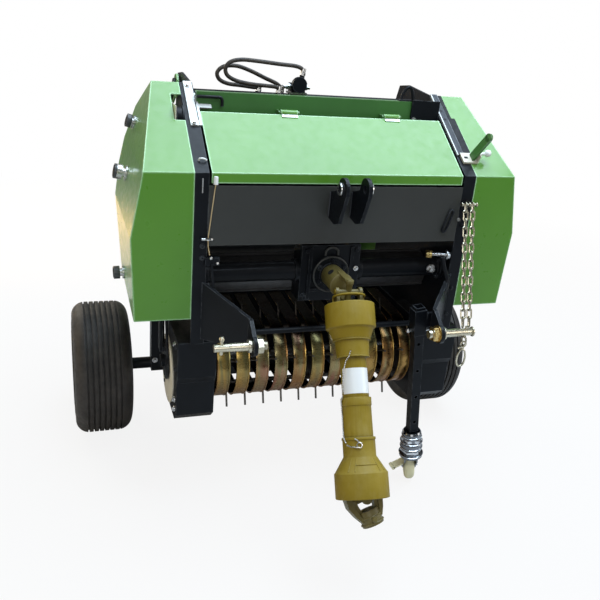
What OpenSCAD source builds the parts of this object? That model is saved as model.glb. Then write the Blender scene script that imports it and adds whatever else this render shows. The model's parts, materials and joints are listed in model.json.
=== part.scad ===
// Small three-point round baler, parked on its wheels and its castor leg.
// X runs to the right as seen from the front, Y runs to the rear, Z is up, millimetres.
// Every module works from the front plane of the side covers and from the floor.

/* [Chamber] */
// Clear width between the side walls
chamber_w = 700; // [600:10:800]
// Thickness of the side walls and gate plates
wall_t = 6; // [4:1:8]
// Height of the bale chamber's centre above the floor
chamber_z = 735; // [725:1:745]
// Distance of the bale chamber's centre behind the front plane
chamber_y = 455; // [450:1:465]
// Radius of the ring on which the roller axes lie
ring_r = 295; // [290:1:298]
// Rear end of the side walls behind the front plane
wall_rear = 495; // [490:1:500]
// Height of the front frame's lower edge
wall_low = 525; // [522:1:560]

/* [Rollers] */
// Outside radius of a roller's tube
roller_r = 52; // [46:1:54]
// Wall of a roller's tube
roller_wall = 5; // [3:0.5:8]
// Height of the ribs along a roller
rib_h = 6; // [3:0.5:7]
// Width of the ribs along a roller
rib_w = 6; // [4:0.5:10]
// Ribs round a roller
rib_count = 8; // [5:1:12]
// Radius of the roller shafts
roller_shaft_r = 17.5; // [14:0.5:20]
// Gap between the side wall and a roller's end
roller_side_gap = 6; // [5:0.5:10]
// Arc of the ring left open as the crop inlet, in degrees
inlet_span = 67; // [64:1:70]
// Angle of the inlet's middle on the ring, from the rear over the top, in degrees
inlet_mid = 228.5; // [227:0.5:230]

/* [Covers] */
// Width of the post flanges, measured from the chamber's inside
post_w = 35; // [30:1:45]
// Sheet thickness of the covers, lid and front panel
sheet_t = 3; // [2:0.5:4]
// Height of the covers' lower edge at the front
cover_low = 598; // [592:1:610]
// Height of the bend in the covers' outer face
cover_bend_z = 817; // [800:1:840]
// Height of the crease between front and slope
crease_z = 981; // [975:1:990]
// Distance of the slope's upper end behind the front plane
slope_top_y = 268; // [260:1:275]
// Height of the slope's upper end
slope_top_z = 1158; // [1150:1:1162]
// Half width over the covers at the lower edge
cover_low_x = 530; // [500:1:540]
// Half width over the covers at the bend
cover_bend_x = 538; // [505:1:545]
// Half width over the covers at the crease
cover_crease_x = 508; // [490:1:520]
// Half width over the covers at the slope's upper end
cover_top_x = 457; // [445:1:480]

/* [Lid and panel] */
// Gap between the lid and each side wall
lid_gap = 6; // [5:0.5:10]
// Distance of the lid's upper edge behind the front plane
lid_top_y = 178; // [170:1:182]
// Depth of the lid's front lip
lip_h = 25; // [15:1:35]
// Height of the front panel's lower edge
panel_low = 805; // [795:1:815]
// Radius of the lid's hinge knuckles
knuckle_r = 8; // [6:0.5:9]
// Radius of the lid's hinge pins
hinge_pin_r = 3; // [2.5:0.25:3.5]

/* [Gate] */
// Radius of the gate plates round the chamber's centre
gate_r = 380; // [372:1:390]
// Gap between the side walls and the gate plates
gate_gap = 5; // [5:0.5:8]
// Gap between the walls' rear end and the gate plates' front edge
gate_split = 7; // [6:0.5:12]
// Distance of the gate hinge behind the front plane
gate_hinge_y = 440; // [435:1:445]
// Height of the gate hinge
gate_hinge_z = 1130; // [1120:1:1135]
// Radius of the gate's hinge pins
gate_pin_r = 12; // [9:0.5:15]

/* [Gate cylinders] */
// Distance of a cylinder's lower pin behind the front plane
ram_y = 350; // [345:1:360]
// Height of a cylinder's lower pin
ram_z = 540; // [530:1:545]
// Distance of a cylinder's upper eye behind the front plane
ram_top_y = 660; // [650:1:670]
// Height of a cylinder's upper eye
ram_top_z = 940; // [930:1:950]
// Outside radius of a cylinder's barrel
barrel_r = 22; // [18:0.5:24]
// Radius of a cylinder's rod
rod_r = 12; // [10:0.5:14]
// Radius of a cylinder's pins
ram_pin_r = 10; // [8:0.5:12]

/* [Wheels] */
// Half of the track, at the middle of the tyres
track_half = 586; // [575:1:600]
// Outside radius of a tyre
tyre_r = 214; // [206:1:222]
// Width of a tyre
tyre_w = 175; // [150:1:190]
// Distance of the wheel axles behind the front plane
axle_y = 505; // [500:1:508]
// Radius of the stub axles
axle_r = 19; // [15:0.5:22]
// Radius of the rim's bead seat
rim_r = 98; // [94:1:104]
// Ribs between the tyre's grooves, across its tread
tread_ribs = 8; // [5:1:10]

/* [Pickup] */
// Distance of the reel's axis behind the front plane
reel_y = 160; // [155:1:165]
// Height of the reel's axis
reel_z = 400; // [395:1:404]
// Radius of the stripper bands' front
band_r = 113; // [108:1:118]
// Width of a stripper band
band_w = 39; // [34:0.5:42]
// Pitch of the stripper bands
band_pitch = 56; // [54:0.5:57]
// Stripper bands
band_count = 11; // [9:1:11]
// Radius of the tine tips
tine_tip_r = 150; // [140:1:155]
// Radius of a tine's wire
tine_r = 3; // [2:0.25:3.5]
// Angle of the first tine bar, from the rear over the top, in degrees
tine_phase = 249; // [240:1:258]

/* [Hitch] */
// Height of the lower link pins
link_z = 589; // [580:1:600]
// Distance of the lower link pins in front of the front plane
link_fore = 155; // [145:1:165]
// Half of the distance between the tips of the hitch plates
link_half = 262; // [250:1:275]
// Radius of the lower link pins
link_pin_r = 11; // [9:0.5:14]
// Length of a lower link pin outward of its plate
link_pin_len = 95; // [80:1:110]
// Radius of the top link's bores
top_link_r = 9.75; // [8:0.25:13]
// Gap between the top link's two ears
top_link_gap = 50; // [44:1:60]

/* [Drive] */
// Height of the gearbox's input shaft
input_z = 700; // [695:1:705]
// Distance of the shaft's upper joint in front of the front plane
input_fore = 105; // [100:1:110]
// Lean of the parked drive shaft from the plumb line, in degrees
pto_lean = 35; // [32:0.1:37]
// Turn of the parked drive shaft to the right, in degrees
pto_swing = -5.5; // [-8:0.1:-2]
// Distance from the upper joint to the lower bell's rim along the shaft
bell_end = 512; // [506:1:518]
// Radius of the lower bell's rim
bell_r = 66; // [62:0.5:70]
// Radius of the upper guard's tube
guard_tube_r = 33.5; // [31:0.5:34]
// Radius of the splined bore at the tractor's end
spline_r = 17.5; // [15:0.25:20]

/* [Parking leg] */
// Sideways lean of the leg, in degrees
leg_lean = 7; // [6:0.1:8]
// Backward lean of the leg, in degrees
leg_back = 1.5; // [0.5:0.1:2.5]
// Sideways place of the leg's foot
leg_foot_x = 324; // [318:1:330]
// Distance of the leg's foot in front of the front plane
leg_foot_fore = 25; // [20:1:30]
// Width of the leg's square tube
leg_w = 28; // [24:1:32]
// Radius of the castor wheel
castor_r = 48; // [44:1:50]

/* [Clearances] */
// Radial play of shafts and pins in their bores
run_clear = 0.1; // [0.05:0.01:0.2]
// Play between sliding tubes and between neighbours that move
slide_clear = 0.4; // [0.3:0.05:1]

/* [Hidden] */
$fn = 48;

// Shares of the frame
half_w = chamber_w / 2;
wall_out = half_w + wall_t;
post_x = half_w + post_w;
slope_deg = atan2(slope_top_z - crease_z, slope_top_y);

// Drive shaft, distances along it from the upper joint
upper_rim = 33;
upper_wide = 96;
upper_cone = 127;
upper_neck = 162;
upper_waist = 170;
upper_tube_end = 310;
lower_mouth = 270;
mouth_len = 20;
lower_collar = 367;
collar_end = 415;
lower_neck = 420;
bell_top = 452;
lower_joint = bell_end;
// Outer yoke at the tractor's end: its bend, its bore's inner end and its length from the lower joint
yoke_bend = 20;
yoke_bore_in = 28;
yoke_len = 66;
yoke_hub_r = 27;

// Front and rear ends of the parked machine, and the middle between them
pto_share = sin(pto_lean) * cos(pto_swing);
yoke_share = cos(yoke_bend) * pto_share - sin(yoke_bend) * sin(pto_swing);
bell_front = bell_end * pto_share + bell_r * sqrt(1 - pow(pto_share, 2));
yoke_front = lower_joint * pto_share + yoke_len * yoke_share + yoke_hub_r * sqrt(1 - pow(yoke_share, 2));
front_end = -input_fore - max(bell_front, yoke_front);
rear_end = chamber_y + gate_r;
origin_y = (front_end + rear_end) / 2;

// Rollers on the ring, counted from the inlet's rear edge
roller_total = 10;
gate_first = 1;
gate_last = 5;
function roller_deg(i) = inlet_mid + inlet_span / 2 + i * (360 - inlet_span) / (roller_total - 1);
function ring_at(deg, r) = [chamber_y + r * cos(deg), chamber_z + r * sin(deg)];
function roller_at(i) = ring_at(roller_deg(i), ring_r);
front_rollers = [0, 6, 7, 8, 9];
gate_rollers = [1, 2, 3, 4, 5];
roller_half = half_w - roller_side_gap;

// Bearings of the rollers
bearing_r = 42;
bearing_t = 14;
gate_bearing_t = 10;

// Gate
gate_in = wall_out + gate_gap;
gate_out = gate_in + wall_t;
gate_front = wall_rear + gate_split;
gate_ear_r = 32;

// Gate cylinders
ram_gap = 9;
ram_x = gate_out + ram_gap + barrel_r;
ram_deg = atan2(ram_top_z - ram_z, ram_top_y - ram_y);
ram_len = norm([ram_top_y - ram_y, ram_top_z - ram_z]);
ram_eye_r = 24;
ram_eye_w = 24;
gland_len = 46;
rod_inner_end = 66;

// Pickup
band_t = 3;
band_half = (band_count - 1) / 2 * band_pitch + band_w / 2;
bar_ring_r = 78;
housing_in = band_half + 12;
// The housings reach past the chamber's inside by this much
housing_past = 66;
housing_out = half_w + housing_past;
rail_top = [345, 522];
rail_low = [300, 281];
rail_w = 26;

// Parking leg
leg_sleeve_z = 540;
leg_sleeve_len = 78;
leg_tube_low = 205;
leg_tube_top = 626;

// Drive
gearbox_front = 36;
gearbox_back = 100;
gearbox_w = 170;
gearbox_h = 160;
drive_tube_y = 66;
drive_tube_r = 27;

// Routes of the two hydraulic hoses
hose_r = 5.5;
hose_sides = 10;
hose_1 = [[-41, 288, 1192], [-41, 288, 1206], [-60, 288, 1214], [-110, 288, 1217], [-170, 288, 1221],
    [-215, 288, 1222],
    [-246, 288, 1214], [-258, 288, 1196], [-250, 288, 1178], [-222, 288, 1166], [-180, 288, 1160],
    [-140, 288, 1158],
    [-114, 290, 1156], [-104, 292, 1150], [-104, 292, 1141]];
hose_2 = [[-92, 312, 1141], [-92, 312, 1151], [-106, 313, 1163], [-140, 315, 1176], [-180, 315, 1192],
    [-220, 315, 1203],
    [-256, 315, 1200], [-274, 315, 1184], [-268, 314, 1166], [-244, 313, 1156], [-206, 312, 1153],
    [-174, 312, 1150],
    [-158, 312, 1149], [-158, 312, 1141]];

// Route of the twine from its cap to its eyelet: place inside the left wall, height
twine_r = 1.5;
twine_sides = 8;
twine_line = [for (p = [[14, 955], [12, 940], [8, 900], [4, 860], [0, 821]]) [p[0] - half_w, -9, p[1]]];

// Shared shapes

module both() {
    children();
    mirror([1, 0, 0]) children();
}

// A plate in the side view: its outline is given as distance to the rear and height
module side_plate(x, t) {
    translate([x, 0, 0]) rotate([90, 0, 90]) linear_extrude(t) children();
}

// A plate in the front view: its outline is given as sideways place and height
module front_plate(y, t) {
    translate([0, y + t, 0]) rotate([90, 0, 0]) linear_extrude(t) children();
}

// A round bar along X
module cross_bar(x, len, y, z, r) {
    translate([x, y, z]) rotate([0, 90, 0]) cylinder(h = len, r = r);
}

// A straight round bar between two points
module rod_between(a, b, r) {
    d = b - a;
    translate(a) rotate([0, acos(d[2] / norm(d)), atan2(d[1], d[0])]) cylinder(h = norm(d), r = r);
}

// A round bar along a line of points, with round elbows
module bent_rod(points, r) {
    for (i = [0:len(points) - 2]) rod_between(points[i], points[i + 1], r);
    for (i = [1:len(points) - 2]) translate(points[i]) sphere(r = r);
}

// An outline moved inward by t, for outlines that turn to the left
function turn_left(v) = [-v[1], v[0]] / norm(v);
function flat_cross(a, b) = a[0] * b[1] - a[1] * b[0];
function line_meet(p, d, q, e) = p + d * flat_cross(q - p, e) / flat_cross(d, e);
function inset(pts, t) = [
    for (i = [0:len(pts) - 1])
        let (n = len(pts), a = pts[(i + n - 1) % n], b = pts[i], c = pts[(i + 1) % n])
        line_meet(a + t * turn_left(b - a), b - a, b + t * turn_left(c - b), c - b)
];

// A tube swept along a line of points
function sweep_dir(p, i) =
    i == 0 ? p[1] - p[0] : i == len(p) - 1 ? p[i] - p[i - 1] : p[i + 1] - p[i - 1];
function sweep_ring(p, i, r, n) =
    let (d = sweep_dir(p, i) / norm(sweep_dir(p, i)), side = [0, 1, 0],
        u = cross(side, d) / norm(cross(side, d)))
    [for (k = [0:n - 1]) p[i] + r * (cos(360 * k / n) * u + sin(360 * k / n) * cross(d, u))];
module swept_tube(p, r, n) {
    m = len(p);
    rings = [for (i = [0:m - 1]) each sweep_ring(p, i, r, n)];
    walls = [for (i = [0:m - 2], k = [0:n - 1])
        [i * n + k, i * n + (k + 1) % n, (i + 1) * n + (k + 1) % n, (i + 1) * n + k]];
    caps = [[for (k = [n - 1:-1:0]) k], [for (k = [0:n - 1]) (m - 1) * n + k]];
    turned = [for (f = concat(walls, caps)) [for (j = [len(f) - 1:-1:0]) f[j]]];
    polyhedron(points = rings, faces = turned);
}

// Frame

wall_outline = [
    [0, wall_low], [0, crease_z], [slope_top_y, slope_top_z], [gate_hinge_y - 30, gate_hinge_z + 40],
    [gate_hinge_y + 30, gate_hinge_z + 32], [wall_rear, gate_hinge_z - 30], [wall_rear, 385], [320, 385],
    [236, 470], [236, wall_low]
];

// A sheet folded at the crease, from a height on the front up to a point on the slope
function folded(low_z, end, t) = [
    [0, low_z], [0, crease_z], end, end + t * [sin(slope_deg), -cos(slope_deg)],
    [t, crease_z + t * tan(slope_deg) - t / cos(slope_deg)], [t, low_z]
];

module wall() {
    difference() {
        union() {
            side_plate(half_w, wall_t) polygon(wall_outline);
            side_plate(half_w + wall_t / 2, post_w - wall_t / 2)
                polygon(folded(wall_low, [slope_top_y, slope_top_z], wall_t));
            for (i = front_rollers)
                cross_bar(wall_out, bearing_t, roller_at(i)[0], roller_at(i)[1], bearing_r);
            cross_bar(wall_out, gate_gap + wall_t + 2, gate_hinge_y, gate_hinge_z, gate_pin_r);
            cross_bar(gate_out + 1, 6, gate_hinge_y, gate_hinge_z, gate_pin_r + 8);
            cross_bar(wall_out, ram_x + ram_eye_w / 2 + 2 - wall_out, ram_y, ram_z, ram_pin_r);
            cross_bar(wall_out, ram_x - ram_eye_w / 2 - 1 - wall_out, ram_y, ram_z, ram_pin_r + 8);
            cross_bar(ram_x + ram_eye_w / 2 + 1, 5, ram_y, ram_z, ram_pin_r + 7);
        }
        for (i = front_rollers)
            cross_bar(half_w - 1, wall_t + bearing_t + 2, roller_at(i)[0], roller_at(i)[1], roller_shaft_r + run_clear);
    }
}

module side_walls() {
    color("#17191d") both() wall();
}

cover_side = [
    [0, cover_low], [300, 622], [330, 640], [410, 770], [480, 900], [460, 967], [436, 1014], [410, 1074],
    [347, 1112], [slope_top_y, slope_top_z], [0, crease_z]
];
cover_front = [
    [post_x, cover_low], [cover_low_x, cover_low], [cover_bend_x, cover_bend_z], [cover_crease_x, crease_z],
    [cover_top_x, slope_top_z], [cover_top_x - 6, slope_top_z + 20], [post_x, slope_top_z + 20]
];
cover_front_cut = [for (p = inset(cover_front, sheet_t)) p[0] < post_x + 2 * sheet_t
    ? [post_x - 5, p[1]] : p];

// Block from which a cover is cut, from before its front to behind its rear
cover_past = 10;
cover_deep = 600;
module cover() {
    difference() {
        intersection() {
            side_plate(post_x, cover_bend_x - post_x + 10) polygon(cover_side);
            front_plate(-cover_past, cover_deep) polygon(cover_front);
        }
        intersection() {
            side_plate(post_x - 10, cover_bend_x - post_x + 20) polygon(inset(cover_side, sheet_t));
            front_plate(-cover_past, cover_deep) polygon(cover_front_cut);
        }
    }
}

module cover_left() {
    color("#3f7a2a") mirror([1, 0, 0]) difference() {
        cover();
        translate([post_x - 1, 150, crease_z]) cube([28, 80, 250]);
    }
}

module cover_right() {
    color("#3f7a2a") difference() {
        cover();
        translate([post_x - 1, 60, crease_z]) cube([14, 100, 250]);
    }
}

// Twine box behind the front panel: front, floor and back as one folded sheet
box_back = [[95, panel_low], [150, 930], [184, 1062]];
module front_panel() {
    color("#33342f") union() {
        translate([-half_w, 0, panel_low]) cube([chamber_w, sheet_t, crease_z - lip_h - 6 - panel_low]);
        translate([-half_w, 0, panel_low - 8]) cube([chamber_w, 14, 8]);
        translate([-half_w, 0, panel_low]) cube([chamber_w, box_back[0][0], sheet_t]);
        side_plate(-half_w, chamber_w) polygon(concat(
            box_back, [for (i = [2:-1:0]) box_back[i] + [-sheet_t, sheet_t / 2]]));
    }
}

// Sloped lid, hinged along its upper edge
lid_half = half_w - lid_gap;
lid_end = [lid_top_y, crease_z + lid_top_y * tan(slope_deg)];
lid_pivot = lid_end + [5, 4];
hinge_places = [-105, 195];
hinge_len = 46;
module lid() {
    color("#4c8c34") difference() {
        union() {
            side_plate(-lid_half, 2 * lid_half) polygon(folded(crease_z - lip_h, lid_end, sheet_t));
            for (x = hinge_places)
                cross_bar(x - hinge_len / 2, hinge_len, lid_pivot[0], lid_pivot[1], knuckle_r);
            translate(twine_line[0] + [0, 0, slide_clear]) cylinder(h = 18, r = 5);
            translate(twine_line[0] + [0, 0, 9]) rotate([-90, 0, 0]) cylinder(h = 10, r = 3);
        }
        for (x = hinge_places)
            cross_bar(x - hinge_len, 2 * hinge_len, lid_pivot[0], lid_pivot[1], hinge_pin_r + run_clear);
    }
}

// Cross beam over the chamber's front, with the lid's hinge ears
beam_y = 202;
beam_z = 1093;
beam_d = 20;
beam_h = 52;
hinge_ear_t = 5;
hinge_ear_r = 5;
module cross_beam() {
    color("#2e5b25") union() {
        difference() {
            translate([-half_w, beam_y, beam_z]) cube([chamber_w, beam_d, beam_h]);
            translate([-half_w - 1, beam_y + 3, beam_z - 1]) cube([chamber_w + 2, beam_d - 6, beam_h - 2]);
        }
        for (x = hinge_places) {
            cross_bar(x - hinge_len / 2 - 3, hinge_len + 6, lid_pivot[0], lid_pivot[1], hinge_pin_r);
            for (s = [-1, 1]) {
                ear_x = x + s * (hinge_len / 2 + 1 + hinge_ear_t / 2) - hinge_ear_t / 2;
                cross_bar(ear_x, hinge_ear_t, lid_pivot[0], lid_pivot[1], hinge_ear_r);
                translate([ear_x, lid_pivot[0], lid_pivot[1] - hinge_ear_r])
                    cube([hinge_ear_t, beam_y - lid_pivot[0] + 1, 2 * hinge_ear_r]);
            }
        }
    }
}

// Tube across the top that carries the valve
tube_y = 300;
tube_z = 1119;
tube_r = 21;
module top_tube() {
    color("#1b1d20") difference() {
        cross_bar(-half_w, chamber_w, tube_y, tube_z, tube_r);
        cross_bar(-half_w - 1, chamber_w + 2, tube_y, tube_z, tube_r - 4);
    }
}

// Drive

module gearbox() {
    color("#23262b") union() {
        translate([-gearbox_w / 2, gearbox_front, input_z - gearbox_h / 2])
            cube([gearbox_w, gearbox_back - gearbox_front, gearbox_h]);
        translate([0, gearbox_front + 1, input_z]) rotate([90, 0, 0]) cylinder(h = 12, r = 48);
        difference() {
            translate([0, gearbox_front + 20, input_z + gearbox_h / 2]) rotate([90, 0, 0])
                cylinder(h = 12, r = 20);
            translate([0, gearbox_front + 21, input_z + gearbox_h / 2 + 5]) rotate([90, 0, 0])
                cylinder(h = 14, r = 9);
        }
    }
}

module drive_tubes() {
    color("#202328") both() difference() {
        union() {
            cross_bar(gearbox_w / 2, half_w - gearbox_w / 2, drive_tube_y, input_z, drive_tube_r);
            cross_bar(gearbox_w / 2, 12, drive_tube_y, input_z, drive_tube_r + 6);
            cross_bar(half_w - 12, 12, drive_tube_y, input_z, drive_tube_r + 14);
        }
        cross_bar(gearbox_w / 2 - 1, half_w, drive_tube_y, input_z, drive_tube_r - 5);
    }
}

// Universal joint: the gearbox's yoke holds the upright arms of the cross
cross_arm_r = 8;
in_ear_half = 9;
in_ear_z = 24;
in_ear_t = 9;
in_hub_r = 30;
in_hub_back = gearbox_front - 11;
in_hub_front = -52;
in_ear_root = 12;
module input_yoke() {
    color("#5c5424") union() {
        translate([0, in_hub_back, input_z]) rotate([90, 0, 0])
            cylinder(h = in_hub_back - in_hub_front, r = in_hub_r);
        for (s = [-1, 1]) {
            ear_z = input_z + s * (in_ear_z + in_ear_t / 2) - in_ear_t / 2;
            translate([-in_ear_half, -input_fore, ear_z])
                cube([2 * in_ear_half, input_fore + in_hub_front + in_ear_root, in_ear_t]);
            translate([0, -input_fore, ear_z]) cylinder(h = in_ear_t, r = in_ear_half + 2);
        }
        translate([0, -input_fore, input_z - in_ear_z - 1]) cylinder(h = 2 * in_ear_z + 2, r = cross_arm_r);
        translate([0, -input_fore, input_z]) rotate([0, 90, pto_swing])
            translate([0, 0, -out_ear_in - out_ear_t])
                cylinder(h = 2 * (out_ear_in + out_ear_t), r = cross_arm_r);
    }
}

// The shaft's own frame: its Z axis runs down along the parked shaft from the upper joint
module along_shaft() {
    translate([0, -input_fore, input_z]) rotate([0, 0, pto_swing])
        rotate([180 - pto_lean, 0, 0]) children();
}

out_ear_in = 27;
out_ear_t = 8;
out_ear_half = 11;
yoke_shaft_r = 22;
yoke_base = 50;
yoke_base_t = 22;

// A pair of ears across X, with their round ends at the origin and their base along Z
module yoke_ears(reach) {
    for (s = [-1, 1]) {
        ear_x = s * (out_ear_in + out_ear_t / 2) - out_ear_t / 2;
        translate([ear_x, -out_ear_half, 0]) cube([out_ear_t, 2 * out_ear_half, reach]);
        translate([ear_x, 0, 0]) rotate([0, 90, 0]) cylinder(h = out_ear_t, r = out_ear_half + 2);
    }
}

module upper_yoke() {
    color("#5c5424") along_shaft() difference() {
        union() {
            yoke_ears(yoke_base + 6);
            translate([0, 0, yoke_base]) cylinder(h = yoke_base_t, r = out_ear_in + out_ear_t);
            translate([0, 0, yoke_base + 10]) cylinder(h = upper_neck - yoke_base - 10, r = yoke_shaft_r);
        }
        translate([-out_ear_in - out_ear_t - 1, 0, 0]) rotate([0, 90, 0])
            cylinder(h = 2 * (out_ear_in + out_ear_t + 1), r = cross_arm_r + run_clear);
    }
}

guard_t = 3;
guard_lip = 1.5;
guard_wide_r = 64;
guard_cone_r = 47;
guard_waist_r = 41;
module upper_guard() {
    web = upper_cone - 8;
    color("#8d7d2c") along_shaft() difference() {
        rotate_extrude() polygon([
            [0, upper_rim], [guard_wide_r - guard_lip, upper_rim], [guard_wide_r, upper_rim + guard_lip],
            [guard_wide_r, upper_wide - guard_lip], [guard_wide_r - guard_lip, upper_wide],
            [guard_wide_r - 2 * guard_t, upper_wide + 2], [guard_cone_r, upper_cone - guard_t],
            [guard_cone_r + guard_lip, upper_cone - guard_t + 1], [guard_cone_r + guard_lip, upper_cone],
            [guard_cone_r - guard_t, upper_cone + 1], [guard_waist_r, upper_waist - guard_t],
            [guard_waist_r + guard_lip, upper_waist - guard_t + 1],
            [guard_waist_r + guard_lip, upper_waist],
            [guard_tube_r, upper_waist + 1], [guard_tube_r, upper_tube_end], [0, upper_tube_end]
        ]);
        rotate_extrude() polygon([
            [0, upper_rim - 1], [guard_wide_r - guard_t, upper_rim - 1],
            [guard_wide_r - guard_t, upper_wide - guard_t],
            [guard_wide_r - 3 * guard_t, upper_wide], [guard_cone_r - guard_t, web], [0, web]
        ]);
        translate([0, 0, web - 1]) cylinder(h = upper_neck - web + 2, r = yoke_shaft_r + slide_clear);
        translate([0, 0, upper_neck]) cylinder(h = upper_tube_end, r = guard_tube_r - guard_t);
    }
}

guard_collar_r = 42;
module lower_guard() {
    in_r = guard_tube_r + slide_clear;
    out_r = in_r + guard_t;
    web = bell_top - 14;
    color("#8d7d2c") along_shaft() difference() {
        rotate_extrude() polygon([
            [0, lower_mouth], [out_r + guard_lip, lower_mouth],
            [out_r + guard_lip, lower_mouth + mouth_len],
            [out_r, lower_mouth + mouth_len + 1], [out_r, lower_collar - 1], [guard_collar_r, lower_collar],
            [guard_collar_r, lower_collar + 2 * guard_t],
            [guard_collar_r - guard_lip, lower_collar + 2 * guard_t + 1],
            [guard_collar_r - guard_lip, collar_end - guard_t], [guard_collar_r, collar_end],
            [bell_r - guard_t, bell_top - guard_t], [bell_r, bell_top], [bell_r, bell_end - guard_lip],
            [bell_r - guard_lip, bell_end], [0, bell_end]
        ]);
        translate([0, 0, lower_mouth - 1]) cylinder(h = lower_neck - lower_mouth + 1, r = in_r);
        translate([0, 0, lower_neck - 1])
            cylinder(h = web - lower_neck + 2, r = yoke_shaft_r + slide_clear);
        rotate_extrude() polygon([
            [0, web], [guard_cone_r, web], [bell_r - 2 * guard_t, bell_top],
            [bell_r - guard_t, bell_top + guard_t],
            [bell_r - guard_t, bell_end + 1], [0, bell_end + 1]
        ]);
    }
}

// Lower joint: the shaft's yoke holds the cross arms along Y, the bent outer yoke those along X
yoke_cheek = 30;
yoke_slot = 21;
module outer_yoke() {
    difference() {
        union() {
            rotate([90, 0, 0]) translate([0, 0, -out_ear_half]) linear_extrude(2 * out_ear_half) polygon([
                [-yoke_cheek, 0], [-yoke_slot, 0], [-yoke_slot, out_ear_half], [-spline_r, yoke_bore_in],
                [spline_r, yoke_bore_in], [yoke_slot, out_ear_half], [yoke_slot, 0], [yoke_cheek, 0],
                [yoke_cheek, out_ear_half], [yoke_hub_r - 6, yoke_len - 12],
                [6 - yoke_hub_r, yoke_len - 12],
                [-yoke_cheek, out_ear_half]]);
            for (x = [-yoke_cheek, yoke_slot])
                translate([x, 0, 0]) rotate([0, 90, 0])
                    cylinder(h = yoke_cheek - yoke_slot, r = out_ear_half + 2);
            translate([0, 0, yoke_bore_in]) cylinder(h = yoke_len - yoke_bore_in, r = yoke_hub_r);
        }
        translate([0, 0, yoke_bore_in]) cylinder(h = yoke_len, r = spline_r);
    }
    translate([-yoke_slot - 1, 0, 0]) rotate([0, 90, 0]) cylinder(h = 2 * yoke_slot + 2, r = cross_arm_r);
}

module lower_yoke() {
    base = lower_joint - yoke_base;
    color("#5c5424") along_shaft() union() {
        translate([0, 0, lower_neck + 8]) cylinder(h = base - lower_neck, r = yoke_shaft_r);
        translate([0, 0, base]) cylinder(h = yoke_base_t - 4, r = out_ear_in + out_ear_t);
        translate([0, 0, lower_joint]) rotate([180, 0, 90]) yoke_ears(yoke_base - 4);
        translate([0, -out_ear_in - 1, lower_joint]) rotate([-90, 0, 0])
            cylinder(h = 2 * out_ear_in + 2, r = cross_arm_r);
        translate([0, 0, lower_joint]) rotate([0, yoke_bend, 0]) outer_yoke();
    }
}

// Hitch

ear_pin = [-75, 962];
ear_t = 10;
module top_link_ears() {
    color("#24272b") both() difference() {
        union() {
            side_plate(top_link_gap / 2, ear_t) polygon([
                [0, 868], [0, 938], [-44, 952], [-50, 976], [-100, 976], [-103, 950], [-70, 872],
                [-40, 862]]);
            cross_bar(top_link_gap / 2, ear_t, ear_pin[0], ear_pin[1], 28);
            cross_bar(top_link_gap / 2 + ear_t - 1, 6, ear_pin[0], ear_pin[1], 16);
        }
        cross_bar(top_link_gap / 2 - 1, ear_t + 10, ear_pin[0], ear_pin[1], top_link_r);
    }
}

plate_t = 10;
knee_fore = 112;
plate_root_x = half_w + plate_t;
plate_turn = atan2(plate_root_x - link_half, knee_fore);
plate_low = 540;
plate_high = 700;
tip_r = 26;
module hitch_plate() {
    run = knee_fore / cos(plate_turn);
    difference() {
        union() {
            translate([plate_root_x, 0, 0]) rotate([0, 0, -plate_turn]) rotate([90, 0, -90])
                linear_extrude(plate_t)
                polygon([[0, plate_low], [run, link_z - tip_r - 6], [run, link_z + tip_r + 28],
                    [0, plate_high]]);
            translate([link_half, 0, 0]) rotate([90, 0, -90]) linear_extrude(plate_t) union() {
                polygon([[knee_fore - 2, link_z - tip_r - 6], [link_fore, link_z - tip_r],
                    [link_fore + tip_r, link_z],
                    [link_fore + tip_r - 6, link_z + 14], [knee_fore + 8, link_z + tip_r + 26],
                    [knee_fore - 2, link_z + tip_r + 28]]);
                translate([link_fore, link_z]) circle(r = tip_r);
            }
        }
        cross_bar(0, 500, -link_fore, link_z, link_pin_r + run_clear);
        cube([half_w + 200, 40, 1000]);
    }
}

module hitch_plates() {
    color("#20262d") both() hitch_plate();
}

// A link pin: nut inside the plate, shoulder outside it, then the journal and a thinner nose
nut_w = 18;
nut_r = 17;
shoulder_w = 10;
shoulder_r = 17;
journal_w = 46;
nose_r = 10;
thread_w = 10;
module link_pins() {
    back = plate_t + nut_w + thread_w;
    nose = link_half + shoulder_w + journal_w;
    color("#c9b46a") both() union() {
        cross_bar(link_half - back, back + shoulder_w + journal_w, -link_fore, link_z, link_pin_r);
        cross_bar(link_half - plate_t - nut_w, nut_w, -link_fore, link_z, nut_r);
        cross_bar(link_half, shoulder_w, -link_fore, link_z, shoulder_r);
        cross_bar(nose, link_half + link_pin_len - nose, -link_fore, link_z, nose_r);
    }
    color("#c9b46a") chain_pin();
}

// Pin on a lug of the right post from which the chains hang
chain_pin_r = 3;
chain_pin_half = 24;
chain_head_r = 6;
chain_head_t = 3;
chain_lug_r = 7;
chain_lug_t = 4;
module chain_pin() {
    mid = (chain_table[0][0] + chain_table[1][0]) / 2;
    cross_bar(mid - chain_pin_half, 2 * chain_pin_half, -chain_fore, chain_top_z, chain_pin_r);
    cross_bar(mid - chain_lug_t / 2, chain_lug_t, -chain_fore, chain_top_z, chain_lug_r);
    translate([mid - chain_lug_t / 2, -chain_fore, chain_top_z - chain_lug_r])
        cube([chain_lug_t, chain_fore, 2 * chain_lug_r]);
    for (x = [mid - chain_pin_half, mid + chain_pin_half - chain_head_t])
        cross_bar(x, chain_head_t, -chain_fore, chain_top_z, chain_head_r);
}

// Bar across the front that keeps the crop down
bar_y = 26;
bar_z = 538;
bar_r = 8;
module guard_bar() {
    color("#16181b") cross_bar(-half_w, chamber_w, bar_y, bar_z, bar_r);
}

// Pickup

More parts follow.
